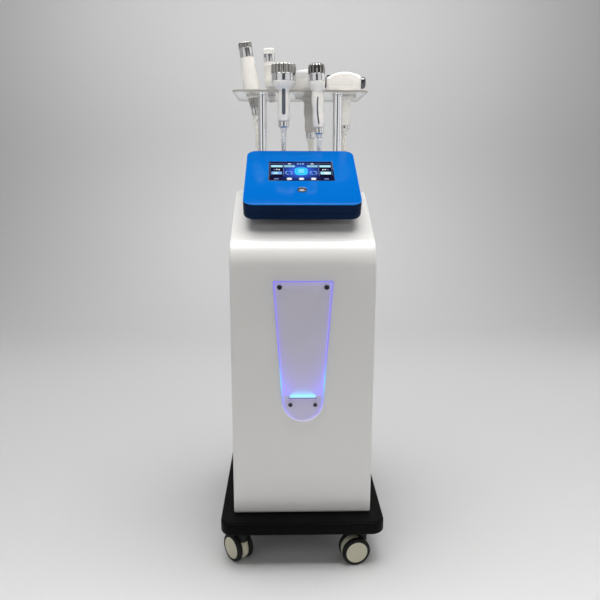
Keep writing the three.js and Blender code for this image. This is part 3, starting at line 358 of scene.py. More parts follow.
# The console's blue darkened to navy for its sides and tray: painted shade where they face away from the
# light.
navy_side_painted_shade = worn("navy_side_painted_shade", 8, (0.3, 0.4), (0, 0.01, 0.042), (0, 0.014, 0.058), (1600, 0.02),
                 Specular_IOR_Level=0.08)
glass_black = worn("glass_black", 10, (0.05, 0.12), (0.004, 0.005, 0.01), Coat_Weight=1)
# Near black for the shade inside gaps: painted shade in the rear vents, in the roller hood's hollow and
# between the face head's ribs.
gap_painted_shade = worn("gap_painted_shade", 20, (0.5, 0.7), (0.005, 0.005, 0.006))
pearl = worn("pearl", 14, (0.22, 0.34), (0.87, 0.84, 0.78), (0.91, 0.88, 0.82), (1400, 0.02),
             Coat_Weight=0.6, Coat_Roughness=0.06, Subsurface_Weight=0.05, Subsurface_Scale=0.01)
ivory = worn("ivory", 30, (0.42, 0.6), (0.78, 0.76, 0.7), (0.86, 0.84, 0.78), (900, 0.06))
# A grey darker than the other handpieces for the cavitation bowl and handle: partly their own grey, partly
# painted shade from standing behind and under the shelf.
grey_and_painted_shade = worn("grey_and_painted_shade", 30, (0.34, 0.48), (0.47, 0.45, 0.42), (0.53, 0.51, 0.48), (1200, 0.03))
sleeve_grey = worn("sleeve_grey", 30, (0.32, 0.5), (0.61, 0.6, 0.58), (0.7, 0.69, 0.67), (900, 0.05))
inset_grey = worn("inset_grey", 30, (0.28, 0.45), (0.09, 0.1, 0.12))
board_green = worn("board_green", 30, (0.4, 0.6), (0.02, 0.15, 0.05))
clear_sheet = sheer("clear_sheet", (0.985, 0.985, 0.98), 0.03, 0.97)
clear_edge = sheer("clear_edge", (0.55, 0.52, 0.46), 0.08, 0.35, (0.42, 0.4, 0.35))


# Camera, solved from the edges of the cabinet and the console
def set_camera():
    tilt, turn, roll = radians(12.078), radians(1.4466), radians(0.1636)
    place, lens = Vector((-46.32, FRONT - 1539.03, DECK + 907.02)), 38.38
    level = cos(tilt)
    ahead = Vector((sin(turn) * level, cos(turn) * level, -sin(tilt)))
    right = Vector((cos(turn), -sin(turn), 0))
    up = right.cross(ahead)
    across = right * cos(roll) + up * sin(roll)
    upward = up * cos(roll) - right * sin(roll)
    camera = add_object("camera", bpy.data.cameras.new("camera"))
    camera.data.lens = lens
    camera.data.clip_end = 100
    turned = Matrix((across, upward, -ahead)).transposed().to_4x4()
    turned.translation = place * MM
    camera.matrix_world = turned
    bpy.context.scene.camera = camera


set_camera()


# Handpieces: where the axis stands on the shelf, the lean of its top towards -X, the tail's sizes, and where
# the hose runs down and enters the rear panel. The lift probe has no hose.
HANDPIECES = {
    "contour_probe": dict(at=(-138.617, 166, 1238.607), lean=8.4, tail=-14, sleeve=27, collar=22, boot=16,
                          run=-126, gland=-102),
    "lift_probe": dict(at=(-81.775, 166, 1236.535), lean=3.8),
    "body_rf": dict(at=(-46.5, 60, 1235.7), lean=0, tail=-82, collar=18.4, boot=10.6,
                    run=-46.5, gland=12),
    "cavitation": dict(at=(27.4, 216, 1238.417), lean=3.8, tail=-107.5, collar=22, boot=28,
                       run=32, gland=82),
    "face_rf": dict(at=(47.694, 60, 1236.618), lean=2.8, tail=-99.5, collar=19.6, boot=11,
                    run=58, gland=114),
    "roller": dict(at=(135, 166, 1235.7), lean=0, tail=-88, collar=14.8, boot=14,
                   run=135, gland=160),
}
FRONT_ROW = ("body_rf", "face_rf")
HOSED = [name for name, piece in HANDPIECES.items() if "gland" in piece]


def axis_frame(name):
    piece = HANDPIECES[name]
    return Matrix.Translation(piece["at"]) @ Matrix.Rotation(radians(-piece["lean"]), 4, "Y")


def tail_heights(name):
    """Heights of the collar's top, the boot's top and the boot's end on the axis."""
    piece = HANDPIECES[name]
    collar_top = piece["tail"] - SEAT - piece.get("sleeve", 0)
    return collar_top, collar_top - piece["collar"], collar_top - piece["collar"] - piece["boot"]


# Hoses
HOSE_RADIUS = 7.4  # over the ribs
HOSE_ROOT = 5.7
HOSE_SIDES = 14
HOSE_PLAIN = 1.0  # at either end, without ribs
HOSE_STRAIGHT = 15.0  # beyond the boot and before the gland
HOSE_BEND = 62.0
HOSE_CLEARANCE = 2.5  # to the rear panel
RIB_PITCH = 7.0
RIB = ((0.14, HOSE_ROOT), (0.3, HOSE_RADIUS - 0.3), (0.57, HOSE_RADIUS), (0.84, HOSE_RADIUS - 0.3))
GLAND_HEIGHT = DECK + 430.0
GLAND_LENGTH = 30.0
LOOP_BACK = FRONT + 590.0
LOOP_LOW = DECK + 100.0
CORD_STEPS = 240


def hose_route(name):
    """Out of the boot, over the cabinet's rear bend, down behind it, round a loop and up to the gland."""
    piece, place = HANDPIECES[name], axis_frame(name)
    boot_end = tail_heights(name)[2]
    leave, below = [place @ Vector((0, 0, boot_end - drop)) for drop in (0, HOSE_STRAIGHT)]
    down_y = REAR_FACE + HOSE_CLEARANCE + HOSE_RADIUS
    bend_y, bend_z = FRONT + CABINET_DEPTH - REAR_BEND, CABINET_TOP - REAR_BEND
    sweep = down_y - bend_y
    if name in FRONT_ROW:
        over = (arc((below.y + HOSE_BEND, below.z), HOSE_BEND, 180, 225, 3)[1:]
                + arc((bend_y, bend_z), sweep, 45, 0, 2))
    else:
        over = [(below.y + (down_y - below.y) * across, bend_z + sweep * down)
                for across, down in ((0.1, 2), (0.35, 1.45), (0.75, 0.85), (0.98, 0.3))]
    middle, radius = (down_y + LOOP_BACK) / 2, (LOOP_BACK - down_y) / 2
    gathered = LOOP_LOW + radius
    down = [(down_y, bend_z + (gathered - bend_z) * k / 4) for k in (1, 2, 3)]
    loop = arc((middle, gathered), radius, 180, 360, 6)
    entry = REAR_FACE + GLAND_LENGTH + HOSE_STRAIGHT
    turn = arc((entry, GLAND_HEIGHT - (LOOP_BACK - entry)), LOOP_BACK - entry, 0, 90, 4)
    run, gland = piece["run"], piece["gland"]
    points = [leave, below]
    for k, (y, z) in enumerate(over + down):
        points.append(Vector((below.x + (run - below.x) * min(1, (k + 1) / len(over)), y, z)))
    points += [Vector((run + (gland - run) * k / 6, y, z)) for k, (y, z) in enumerate(loop)]
    points += [Vector((gland, y, z)) for y, z in turn + [(REAR_FACE + GLAND_LENGTH, GLAND_HEIGHT)]]
    return points


def along(line, distance, lengths):
    """The point and direction at a distance along a fine polyline."""
    low = min(bisect_right(lengths, distance), len(lengths) - 1) - 1
    span = max(lengths[low + 1] - lengths[low], 1e-9)
    ahead = line[low + 1] - line[low]
    return line[low] + ahead * ((distance - lengths[low]) / span), ahead.normalized()


def make_hose(name):
    line = flowing(hose_route(name), 12)
    lengths = [0.0]
    for a, b in zip(line, line[1:]):
        lengths.append(lengths[-1] + (b - a).length)
    total = lengths[-1]
    stations = [(0, HOSE_ROOT)]
    for rib in range(int((total - 2 * HOSE_PLAIN) / RIB_PITCH)):
        stations += [(HOSE_PLAIN + RIB_PITCH * (rib + share), radius) for share, radius in RIB]
    stations.append((total, HOSE_ROOT))
    shape, loops = Shape(), []
    circle = [2 * pi * k / HOSE_SIDES for k in range(HOSE_SIDES)]
    for distance, radius in stations:
        centre, ahead = along(line, distance, lengths)
        up = ahead.cross(Vector((1, 0, 0))).normalized()
        side = up.cross(ahead)
        loops.append([centre + side * (radius * cos(a)) + up * (radius * sin(a)) for a in circle])
    shape.loft(loops)
    hose = shape.make(f"{name}_ribbed_hose", [ivory], [f"{name}_hose"], None, 60)
    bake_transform(hose)
    path = [along(line, total * k / CORD_STEPS, lengths)[0] * MM for k in range(CORD_STEPS + 1)]


for each in HOSED:
    make_hose(each)


# Base plate
PLATE_WIDTH, PLATE_DEPTH, PLATE_CORNER = 426.0, 552.0, 34.0
PLATE_LOW = 97.0
PLATE_MIDDLE = (0, FRONT + 224.0)
CASTOR_X = 158.0
CASTOR_FRONT_Y = FRONT - 10.5
CASTOR_REAR_Y = FRONT + 458.5


def make_base():
    plate = Shape()
    rim = DECK - 1.2
    profile = edge_profile(PLATE_LOW, rim, 4, 4) + [(6, rim), (6.6, DECK), (8, DECK)]
    plate.slab(PLATE_WIDTH, PLATE_DEPTH, PLATE_CORNER, profile, PLATE_MIDDLE)
    boss = fillet([(0, 88), (18, 88, 2), (18, 99), (0, 99)])
    for x in (-CASTOR_X, CASTOR_X):
        for y in (CASTOR_FRONT_Y, CASTOR_REAR_Y):
            plate.turn(boss, at=(x, y, 0))
    plate.make("plate_moulding", [black_plate], ["base_plate"])


make_base()


# Castors, each drawn with its stem on the origin and trailing along +X
CASTORS = {"front_left": (-CASTOR_X, CASTOR_FRONT_Y, 128.8), "front_right": (CASTOR_X, CASTOR_FRONT_Y, 191.8),
           "rear_left": (-CASTOR_X, CASTOR_REAR_Y, 68), "rear_right": (CASTOR_X, CASTOR_REAR_Y, 117)}
TYRE = 37.5
AXLE = TYRE * cos(pi / 16)  # the height at which the plain solid's flats touch the floor
TRAIL = 20.0


def make_castor(corner):
    name, (x, y, swivel) = f"castor_{corner}", CASTORS[corner]
    place = Matrix.Translation((x, y, 0)) @ Matrix.Rotation(radians(swivel), 4, "Z")
    hub = (TRAIL, 0, AXLE)
    web = fillet([(0, -9.5), (34.8, -9.5, 2.4), (36, 0), (34.8, 9.5, 2.4), (0, 9.5)])
    collar = fillet([(0, 60), (13, 60), (13, 72), (15, 75.4, 1), (15, 86, 1.5), (9, 87.6), (0, 87.6)])
    stem = [(0, 84), (5.5, 84), (5.5, 110), (0, 110)]
    hood = Shape(place)
    hood.turn(web, 72, at=hub, axis="Y")
    hood.turn(collar, 48, 1)
    hood.turn(stem, 24, 1)
    hood.make(f"{name}_fork", [disc_beige, tyre], [f"{name}_hood"], name)
    rim = fillet([(28.6, 24.2), (29.4, 24.9, 0.6), (33.6, 24.4, 3), (TYRE, 21.2, 3), (TYRE + 0.1, 16.8),
                  (TYRE, 13, 2.4), (34.6, 10.2, 2), (8, 10.1)])
    dish = fillet([(0, 23.2), (19.5, 23.4, 1.5), (21, 22.9, 0.8), (22.4, 23.6, 0.8), (27.2, 24.4, 1),
                   (28.6, 24.2)])
    for end, side in (("a", 1), ("b", -1)):
        wheel = Shape(place)
        for slot, outline in enumerate((rim, dish)):
            wheel.turn([(radius, out * side) for radius, out in outline], 72, slot, at=hub, axis="Y")
        wheel.make(f"{name}_tyre_{end}", [tyre, disc_beige], [f"{name}_wheel_{end}"], f"wheels_{corner}")


for each in CASTORS:
    make_castor(each)


# Cabinet
SLOPE = 24.5  # degrees, of the sloping top
FRONT_BEND = 70.0
FRONT_BEND_HEIGHT = DECK + 659.0
CREST_BEND = 40.0
FOOT_BEND = 8.0
SIDE_EDGE = 4.0


def cabinet_loop(inset, x):
    """The cabinet seen from the side, drawn in by inset: up the back, over the top and down the front."""
    slope, low = radians(SLOPE), DECK + SEAT
    end_y = FRONT_BEND * (1 - sin(slope))
    end_z = FRONT_BEND_HEIGHT + FRONT_BEND * cos(slope)
    crest_z = CABINET_TOP - CREST_BEND * (1 - cos(slope))
    crest_y = end_y + CREST_BEND * sin(slope) + (crest_z - end_z) / tan(slope)
    line = ([(CABINET_DEPTH - inset, low + inset)]
            + arc((CABINET_DEPTH - REAR_BEND, CABINET_TOP - REAR_BEND), REAR_BEND - inset, 0, 90, 16)
            + arc((crest_y, CABINET_TOP - CREST_BEND), CREST_BEND - inset, 90, 90 + SLOPE, 6)
            + arc((FRONT_BEND, FRONT_BEND_HEIGHT), FRONT_BEND - inset, 90 + SLOPE, 180, 16)
            + arc((FOOT_BEND, low + FOOT_BEND), FOOT_BEND - inset, 180, 270, 6))
    return [(x, y + FRONT, z) for y, z in line]


def make_cabinet():
    shell, half = Shape(), CABINET_WIDTH / 2
    left = [(SIDE_EDGE * (1 - sin(a)), SIDE_EDGE * (1 - cos(a)) - half) for a in quarter(5)]
    right = [(inset, -x) for inset, x in reversed(left)]
    shell.loft([cabinet_loop(inset, x) for inset, x in left + right])
    shell.make("cabinet_skin", [white_paint], ["cabinet_shell"], angle=40)


make_cabinet()


# Light panel: a clear plate over a painted glow, the light bar's light painted on the panel's back and
# brightest at the bar
LIGHT_LOW = DECK + 263.0
LIGHT_HEIGHT = 364.0
LIGHT_ROUND = 53.0
LIGHT_CORNER = 3.0
LIGHT_LEAN = radians(4)
LIGHT_FACE = FRONT - 8.3
BAR_TOP = 66.5
BAR_HALF = 33.0
SIDE_STEPS = 24
GLOW_ROWS = ((2, 4, 15), (60, 1.4, 30), (102, 6, 42), (352, 2, 6))  # first height, step and count
NEAR_FADE, SIDE_FADE, TOP_FADE, BEAM_FADE = 52.0, 3.6, 6.0, 7.0  # how far each light reaches
BEAM_TAPER, BEAM_SOFT = 0.9, 6.0
PANEL_SCREWS = ((57.8, 348, 6.4), (-57.8, 348, 6.4), (31.5, 44, 5.4), (-31.5, 44, 5.4))


def light_half(z, inset=0.0):
    """Half the panel's width at a height above its lowest point."""
    radius = LIGHT_ROUND - inset
    if z < LIGHT_ROUND - radius * sin(LIGHT_LEAN):
        return sqrt(max(radius ** 2 - (LIGHT_ROUND - z) ** 2, 0))
    return radius / cos(LIGHT_LEAN) + (z - LIGHT_ROUND) * tan(LIGHT_LEAN)


def light_loop(inset, y):
    """The panel's outline, drawn in by inset."""
    lean, top = degrees(LIGHT_LEAN), LIGHT_HEIGHT - inset
    half, shoulder = light_half(top, inset), top - LIGHT_CORNER
    bend = arc((0, LIGHT_ROUND), LIGHT_ROUND - inset, -lean, -180 + lean, 40)
    out, down = bend[0][0] - half, bend[0][1] - top + LIGHT_CORNER
    side = [(half + out * k / SIDE_STEPS, shoulder + down * k / SIDE_STEPS) for k in range(SIDE_STEPS)]
    line = ([(half - LIGHT_CORNER, top)] + side + bend + [(-x, z) for x, z in reversed(side)]
            + [(LIGHT_CORNER - half, top)])
    return [(x, y, z + LIGHT_LOW) for x, z in line]


def panel_glow(share, z):
    """The light painted on the panel's back: a grey-violet glow, bluer at the edges, cyan in a beam above the
    light bar.
    """
    above, to_side = z - BAR_TOP, (1 - abs(share)) * light_half(z)
    near = exp(-above / NEAR_FADE) * (0.38 + 0.7 * share * share) if above > 0 else 0.08
    rim = exp(-to_side / SIDE_FADE) + exp(-(LIGHT_HEIGHT - z) / TOP_FADE)
    beam = 0.0
    if above > -1:
        inside = (BAR_HALF - BEAM_TAPER * above - abs(share) * light_half(z)) / BEAM_SOFT
        beam = exp(-above / BEAM_FADE) * min(1, max(0, inside + 0.5))
    return [base + near * violet + rim * blue + beam * cyan for base, violet, blue, cyan in
            ((0.09, 0.09, 0.03, 0.04), (0.085, 0.03, 0.01, 0.56), (0.12, 0.95, 0.6, 0.6))]


def rim_glow(z, pale):
    """Painted light on the plate's edge: a violet glow, cyan beside the beam and a pale painted highlight
    round the lower end.
    """
    cyan = exp(-((z - 105) / 38) ** 2)
    light = pale * min(1, max(0, (52 - z) / 16))
    return [violet * (1 - cyan) * (1 - light) + beam * cyan + white * light for violet, beam, white in
            ((0.12, 0.03, 0.72), (0.08, 0.55, 0.7), (0.66, 0.9, 0.85))]


def make_light_panel():
    plate = Shape()
    plate.loft([light_loop(inset, y + FRONT) for inset, y in
                ((0.0, -SEAT), (0.0, -7.6), (0.3, -8.1), (0.8, -8.3))])
    plate.make("light_plate", [clear_sheet], ["light_panel"])
    face, colors, rows = Shape(), [], []
    shares = [sin(pi * (k / 44 - 0.5)) * 0.5 + (k / 44 - 0.5) for k in range(45)]
    for z in [first + step * k for first, step, count in GLOW_ROWS for k in range(count)]:
        half = light_half(z, 2.0)
        rows.append([(half * share, FRONT - SEAT / 2, z + LIGHT_LOW) for share in shares])
        colors += [panel_glow(share, z) for share in shares]
    face.sheet(rows)
    paint(face.make("light_back", [painted("panel_glow", (0.62, 0.6, 0.66))]), colors)
    bar, under = Shape(), BAR_HALF + 2
    bar.box((-BAR_HALF, FRONT - 7.3, LIGHT_LOW + 63), (BAR_HALF, FRONT - SEAT, LIGHT_LOW + BAR_TOP))
    bar.box((-under, FRONT - 7.2, LIGHT_LOW + 60.5), (under, FRONT - SEAT, LIGHT_LOW + 62.9), 1)
    inks = [glowing("bar_cyan", (0.42, 0.97, 1)), glowing("bar_violet", (0.16, 0.08, 0.5))]
    bar.make("light_tube", inks, ["light_bar"])
    rim, colors = Shape(), []
    # Both bands are painted light on the plate's edge; the outer one carries the pale painted highlight round
    # the lower end.
    for pale, insets in ((1, (0.5, 1.8)), (0, (1.8, 3.2))):
        loops = [light_loop(inset, LIGHT_FACE - 0.04) for inset in insets]
        rim.loft(loops, caps=(None, None))
        colors += [rim_glow(z - LIGHT_LOW, pale) for loop in loops for x, y, z in loop]
    paint(rim.make("light_rim", [painted("rim_glow", (0.3, 0.3, 0.4))]), colors)
    screws = Shape()
    for x, z, radius in PANEL_SCREWS:
        head = fillet([(0, -2.2), (radius * 0.45, -2.2), (radius * 0.5, -3.4, 0.5), (radius * 0.8, -3.2, 1),
                       (radius, -1.2, 0.8), (radius, 0), (0, 0)])
        screws.turn(head, 32, at=(x, LIGHT_FACE, z + LIGHT_LOW), axis="Y")
    screws.make("light_screws", [screw_steel])


make_light_panel()


# Console, drawn flat with its top in the plane Z = 0 and its near edge on Y = 0
CONSOLE_EDGE = (0, FRONT + 51.0, DECK + 807.5)
CONSOLE_TILT = radians(26)
CONSOLE = Matrix.Translation(CONSOLE_EDGE) @ Matrix.Rotation(CONSOLE_TILT, 4, "X")
CONSOLE_PLAN = (298, 305, 28)  # width, depth and corner
CONSOLE_MIDDLE = (0, CONSOLE_PLAN[1] / 2)
TRAY_LOW = -45.0
SPLIT = -26.0  # between the tray and the cover
BUTTON = (0, 74, 0)
SCREEN_PLAN = (175, 112, 2)
SCREEN_Y = 180.0
GLASS_TOP = 0.5


def make_console():
    # The tray and the cover's sides wear navy, which is painted shade on the blue box. The cover's top edge
    # wears a lighter blue, which is a painted highlight.
    tray = Shape(CONSOLE)
    tray.slab(*CONSOLE_PLAN, edge_profile(TRAY_LOW, SPLIT, 5, 0, 5), CONSOLE_MIDDLE)
    tray.make("console_base", [navy_side_painted_shade], ["console_tray"])
    cover = Shape(CONSOLE)
    profile = [(0.6, SPLIT + 0.3), (0, SPLIT + 0.9)] + edge_profile(-2, 0, 0, 1.6)
    cover.slab(*CONSOLE_PLAN, profile, CONSOLE_MIDDLE, [0, 0, 1, 1, 1, 1, 2], (0, 2))
    cover.make("console_lid", [navy_side_painted_shade, blue_edge_painted_highlight, blue_top], ["console_cover"])
    glass = Shape(CONSOLE)
    glass.slab(*SCREEN_PLAN, [(0, -2), (0, 0.1), (0.4, GLASS_TOP)], (0, SCREEN_Y))
    glass.make("screen_glass", [glass_black], ["touch_screen"])
    outline = fillet([(9, -12), (9, 0.6), (9.6, 1.8, 0.5), (11, 2.6, 1), (12.6, 1.4, 1), (12.8, 0.1)])
    bezel = Shape(CONSOLE)
    bezel.turn(outline, at=BUTTON)
    bezel.make("bezel_ring", [dark_chrome], ["button_bezel"])
    outline = fillet([(0, -7.8), (8.5, -7.8), (8.5, 1.2, 0.8), (7, 2.3, 1.5), (3, 3.1, 1), (0, 3.2)])
    button = Shape(CONSOLE)
    button.turn(outline, at=BUTTON)
    button.make("button_dome", [dark_chrome], ["power_button"], "power_button")


make_console()


# Screen: a plain panel of controls with a glowing tile in the middle, and no lettering
LAYER, TILE_THICK = 0.04, 0.03
HALO_SIZE, HALO_STEP = (171, 108), 2.7
HALO_X, HALO_Y, HALO_WIDE, HALO_HIGH = -2, -3, 37, 34
INKS = (("navy", (0.004, 0.003, 0.02)), ("teal", (0.28, 0.6, 0.76)), ("sky", (0.22, 0.45, 0.9)),
        ("cyan", (0.05, 0.7, 1.0)), ("white", (0.9, 0.95, 1.0)), ("line", (0.16, 0.24, 0.5)),
        ("deep", (0.02, 0.32, 0.85)), ("ice", (0.45, 0.84, 1.0)))
screen = Shape(CONSOLE)


def pad(x, y, width, depth, corner, layer, slot):
    """A flat tile on the screen; a higher layer lies over a lower one."""
    low, corner = GLASS_TOP + LAYER * layer, min(corner, width / 2.02, depth / 2.02)
    profile = [(0, low), (0, low + TILE_THICK)]
    screen.slab(width, depth, corner, profile, (x, SCREEN_Y + y), slot, (slot, slot))


def arc_band(x, y, radius, width, start, end, layer, slot):
    high = GLASS_TOP + TILE_THICK + LAYER * layer
    screen.sheet([[(u, v, high) for u, v in arc((x, SCREEN_Y + y), r, start, end, 24)]
                  for r in (radius, radius - width)], slot)


def make_halo():
    """A sheet under the tiles: a blue halo in the middle that fades to night at the edges."""
    halo, colors, rows = Shape(CONSOLE), [], []
    columns, lines = [int(size / HALO_STEP) for size in HALO_SIZE]
    for j in range(lines + 1):
        rows.append([])
        for i in range(columns + 1):
            x, y = HALO_SIZE[0] * (i / columns - 0.5), HALO_SIZE[1] * (j / lines - 0.5)
            glow = exp(-(((x - HALO_X) / HALO_WIDE) ** 2 + ((y - HALO_Y) / HALO_HIGH) ** 2))
            rows[-1].append((x, SCREEN_Y + y, GLASS_TOP + 0.02))
            colors.append((0.006 + 0.05 * glow, 0.004 + 0.17 * glow, 0.028 + glow))
    halo.sheet(rows)
    paint(halo.make("screen_halo", [painted("ui_halo", NIGHT)]), colors)


def make_screen():
    navy, teal, sky, cyan, white, line, deep, ice = range(len(INKS))
    for side in (-1, 1):
        pad(side * 66, 3, 34, 76, 2, 1, navy)
        pad(side * 65.5, 27, 31, 12, 1.5, 2, ice)
        pad(side * 65.5, -13, 28, 16, 1.5, 2, sky if side < 0 else ice)
        pad(side * 68, -13, 12, 10, 1.5, 3, ice if side < 0 else white)
        for k in range(3):
            ink = line if k == 1 + side else white
            pad(side * 65.5 + 6.5 * (k - 1), 6.5 + k % 2, 4, 5, 1, 2, ink)
        pad(side * 31, 27, 29, 12, 1.5, 2, teal)
        pad(side * 31, 41, 8, 5, 1, 2, white)
        for x, y, width, depth in ((47.5, 8, 1.4, 70), (82.8, 8, 1.4, 70), (31, 42, 30, 1.4),
                                   (66, 43, 34, 1.4)):
            pad(side * x, y, width, depth, 0.4, 1, line)
        for start in (20, 110, 200, 290):
            arc_band(side * 33, -12, 10.5, 2.6, start, start + 66, 2, teal if start < 200 else sky)
        pad(side * 32, -46, 13, 12, 4, 2, white)
        pad(side * 66, -46.5, 12, 7, 2, 2, line)
    for x, width in ((-8, 5), (-1, 4), (6, 6)):
        pad(x, 41, width, 8, 1, 2, sky)
    pad(0, -46, 13, 12, 4, 2, white)
    pad(0, -3, 36, 46, 13, 1, deep)
    pad(0, -3, 33, 42, 12, 2, cyan)
    pad(0, -1, 25, 31, 7, 3, deep)
    pad(0, -1, 22, 27, 6, 4, cyan)
    for k in range(3):
        pad(0, 6 - 7 * k, 14, 3, 1, 5, ice)
    screen.make("screen_picture", [glowing(f"ui_{name}", color) for name, color in INKS])


make_halo()
make_screen()


# Pillars and shelf
PILLAR_X = 107.0
PILLAR_Y = FRONT + 362.0
SHELF_WIDTH = 376.0
SHELF_FRONT = FRONT + 305.0
SHELF_BACK = FRONT + 600.0
SHELF_CORNER = 25.0
SHELF_EDGE = 0.4
HOLE_STEPS = 48
NOTCHES = ((-46.5, 334, 18.6), (47.9, 334, 18.2))  # x, distance from the cabinet's front, radius
HOLES = ((-137.7, 440, 19.2), (-81.5, 440, 11.9), (27.8, 490, 40), (135, 440, 34))


def make_pillars():
    low, high = CABINET_TOP + SEAT, SHELF_UNDER - SEAT
    foot = [(0, low), (23, low), (23, low + 2, 1), (17, low + 4.5, 2), (13.8, low + 5, 1), (12.4, low + 8, 2)]
    cap = [(12.4, high - 6), (12.4, high - 5.2, 0.3), (15, high - 5, 0.8), (15, high, 0.6), (0, high)]
    for side, name in ((-1, "left"), (1, "right")):
        pillar = Shape()
        pillar.turn(fillet(foot + cap), 64, at=(side * PILLAR_X, PILLAR_Y, 0))
        pillar.make(f"pillar_{name}_tube", [chrome], [f"pillar_{name}"])


def add_outline(curve, points):
    spline = curve.splines.new("POLY")
    spline.points.add(len(points) - 1)
    for point, (x, y) in zip(spline.points, points):
        point.co = (x * MM, y * MM, 0, 1)
    spline.use_cyclic_u = True


def make_shelf():
    curve = bpy.data.curves.new("shelf_outline", "CURVE")
    curve.dimensions, curve.fill_mode = "2D", "BOTH"
    curve.extrude, curve.bevel_depth = (SHELF_THICK / 2 - SHELF_EDGE) * MM, SHELF_EDGE * MM
    curve.bevel_resolution = 1
    edge = []
    for x, y, radius in NOTCHES:
        notch = arc((x, FRONT + y), radius, 180, 0, 24)
        edge += [(x - radius, SHELF_FRONT)] + notch + [(x + radius, SHELF_FRONT)]
    middle, depth = (SHELF_FRONT + SHELF_BACK) / 2, SHELF_BACK - SHELF_FRONT
    edge += [(x, y + middle) for x, y in plan(SHELF_WIDTH, depth, SHELF_CORNER, steps=10)]
    add_outline(curve, edge)
    for x, y, radius in HOLES:
        add_outline(curve, arc((x, y + FRONT), radius, 0, 360 - 360 / HOLE_STEPS, HOLE_STEPS - 1))
    drawn = add_object("shelf_drawn", curve)
    bpy.context.view_layer.update()
    mesh = bpy.data.meshes.new_from_object(drawn.evaluated_get(bpy.context.evaluated_depsgraph_get()))
    bpy.data.objects.remove(drawn)
    mesh.transform(Matrix.Translation((0, 0, (SHELF_UNDER + SHELF_THICK / 2) * MM)))
    mesh.materials.clear()
    mesh.materials.append(clear_sheet)
    mesh.materials.append(clear_edge)
    for polygon in mesh.polygons:
        polygon.material_index = 0 if abs(polygon.normal.z) > 0.9 else 1
    shelf = add_object("shelf_sheet", mesh)
    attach(shelf, "machine")
    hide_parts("shelf")


make_pillars()
make_shelf()


# Handpieces
def fluted(count, depth, sharpness):
    """A wave of round lobes with narrow grooves between them."""
    return lambda angle: 1 - depth * (1 - abs(sin(angle * count / 2)) ** sharpness)


def make_turned(name, part, stands_for, finishes, *turns):
    """A part turned about its handpiece's axis. Each turn is an outline, its segments, slot and wave."""
    shape = Shape(axis_frame(name))
    for outline, *how in turns:
        shape.turn(outline, *how)
    shape.make(f"{name}_{part}", finishes, [f"{name}_{stands_for}"], name)


def make_tail(name, upper, lower, taper, wide, narrow, sleeve=None):
    """A collar of an upper radius, a lower radius and a taper, and a boot from wide to narrow."""
    collar_top, boot_top, boot_end = tail_heights(name)
    rubber = fillet([(wide, boot_top + 1), (wide, boot_top - 1.5, 1), (narrow, boot_end + 1, 0.8),
                     (narrow - 0.8, boot_end), (0, boot_end)])
    metal = fillet([(0, boot_top), (lower - 0.6, boot_top, 0.5), (lower, boot_top + 0.8, 0.5),
                    (upper, boot_top + taper, 1), (upper, collar_top - 0.8, 0.6), (upper - 0.8, collar_top),
                    (0, collar_top)])
    turns = [(rubber, 56, 1), (metal, 64, 0)]
    if sleeve:
        turns.append((sleeve, 96, 2, fluted(12, 0.13, 0.5)))
    make_turned(name, "collar", "tail", [satin, ivory, brushed], *turns)


def make_contour_probe():
    name = "contour_probe"
    foot = fillet([(0, -14), (17, -14, 1), (17.9, -9, 1), (17.9, -6.5), (18.3, -6, 0.3), (18.3, -3, 0.3),
                   (17.9, -2.5), (17.9, -SEAT), (19.9, SEAT, 0.2)])
    grip = flowing([(19.9, SEAT), (24.2, 9), (24.6, 14), (22.6, 60), (20.6, 99)])
    make_turned(name, "handle", "body", [pearl],
                (foot + grip + [(20.4, 99.8), (19.6, 100), (0, 100)], 72))
    ring = fillet([(0, 100.3), (19, 100.3), (19.5, 101, 0.5), (19.5, 126.6, 0.5), (19, 127.3), (0, 127.3)])
    crown = fillet([(0, 127), (19.6, 127), (19.9, 139, 1), (18.6, 142.2, 1.5), (14, 142.2, 1), (13, 139),
                    (0, 139)])
    make_turned(name, "crown", "head", [satin, brushed],
                (ring, 72), (crown, 160, 1, fluted(20, 0.1, 0.4)))
    sleeve = [(11, -41.5), (11.4, -41), (15.2, -16), (15.2, -14.4), (0, -14.4)]
    make_tail(name, 10.9, 10, 4, 9, 8.2, sleeve)


def make_lift_probe():
    grip = flowing([(16.4, 20.6), (17.2, 25), (18.7, 36), (17.2, 44), (15, 52), (14.7, 61), (15.8, 69),
                    (17.8, 78)])
    neck = fillet([(17.9, 79), (17.6, 80.5, 0.5), (16.3, 80.8, 0.4), (16.3, 89.4, 0.5), (15.6, 90), (0, 90)])
    make_turned("lift_probe", "handle", "body", [ivory], ([(0, 20), (15.5, 20)] + grip + neck, 72))
    ring = fillet([(0, 90.3), (15.7, 90.3), (16.2, 91, 0.5), (16.2, 111.6, 0.5), (15.7, 112.2), (0, 112.2)])
    cap = fillet([(0, 112), (16.3, 112), (16.3, 123, 1), (14.4, 127.2, 2), (9, 127.6, 1), (8, 126),
                  (0, 126)])
    make_turned("lift_probe", "cap", "head", [satin, ivory], (ring, 72), (cap, 160, 1, fluted(20, 0.09, 0.5)))
    sleeve = [(0, -18.5), (9.8, -18.6), (10.6, -18), (11.2, -SEAT), (12.6, SEAT), (12.8, 19.6), (0, 19.6)]
    plug = fillet([(0, -23.3), (8, -23.3, 1.2), (8, -18), (0, -18)])
    make_turned("lift_probe", "sleeve", "tail", [sleeve_grey],
                (sleeve, 96, 0, fluted(12, 0.1, 0.5)), (plug, 48))


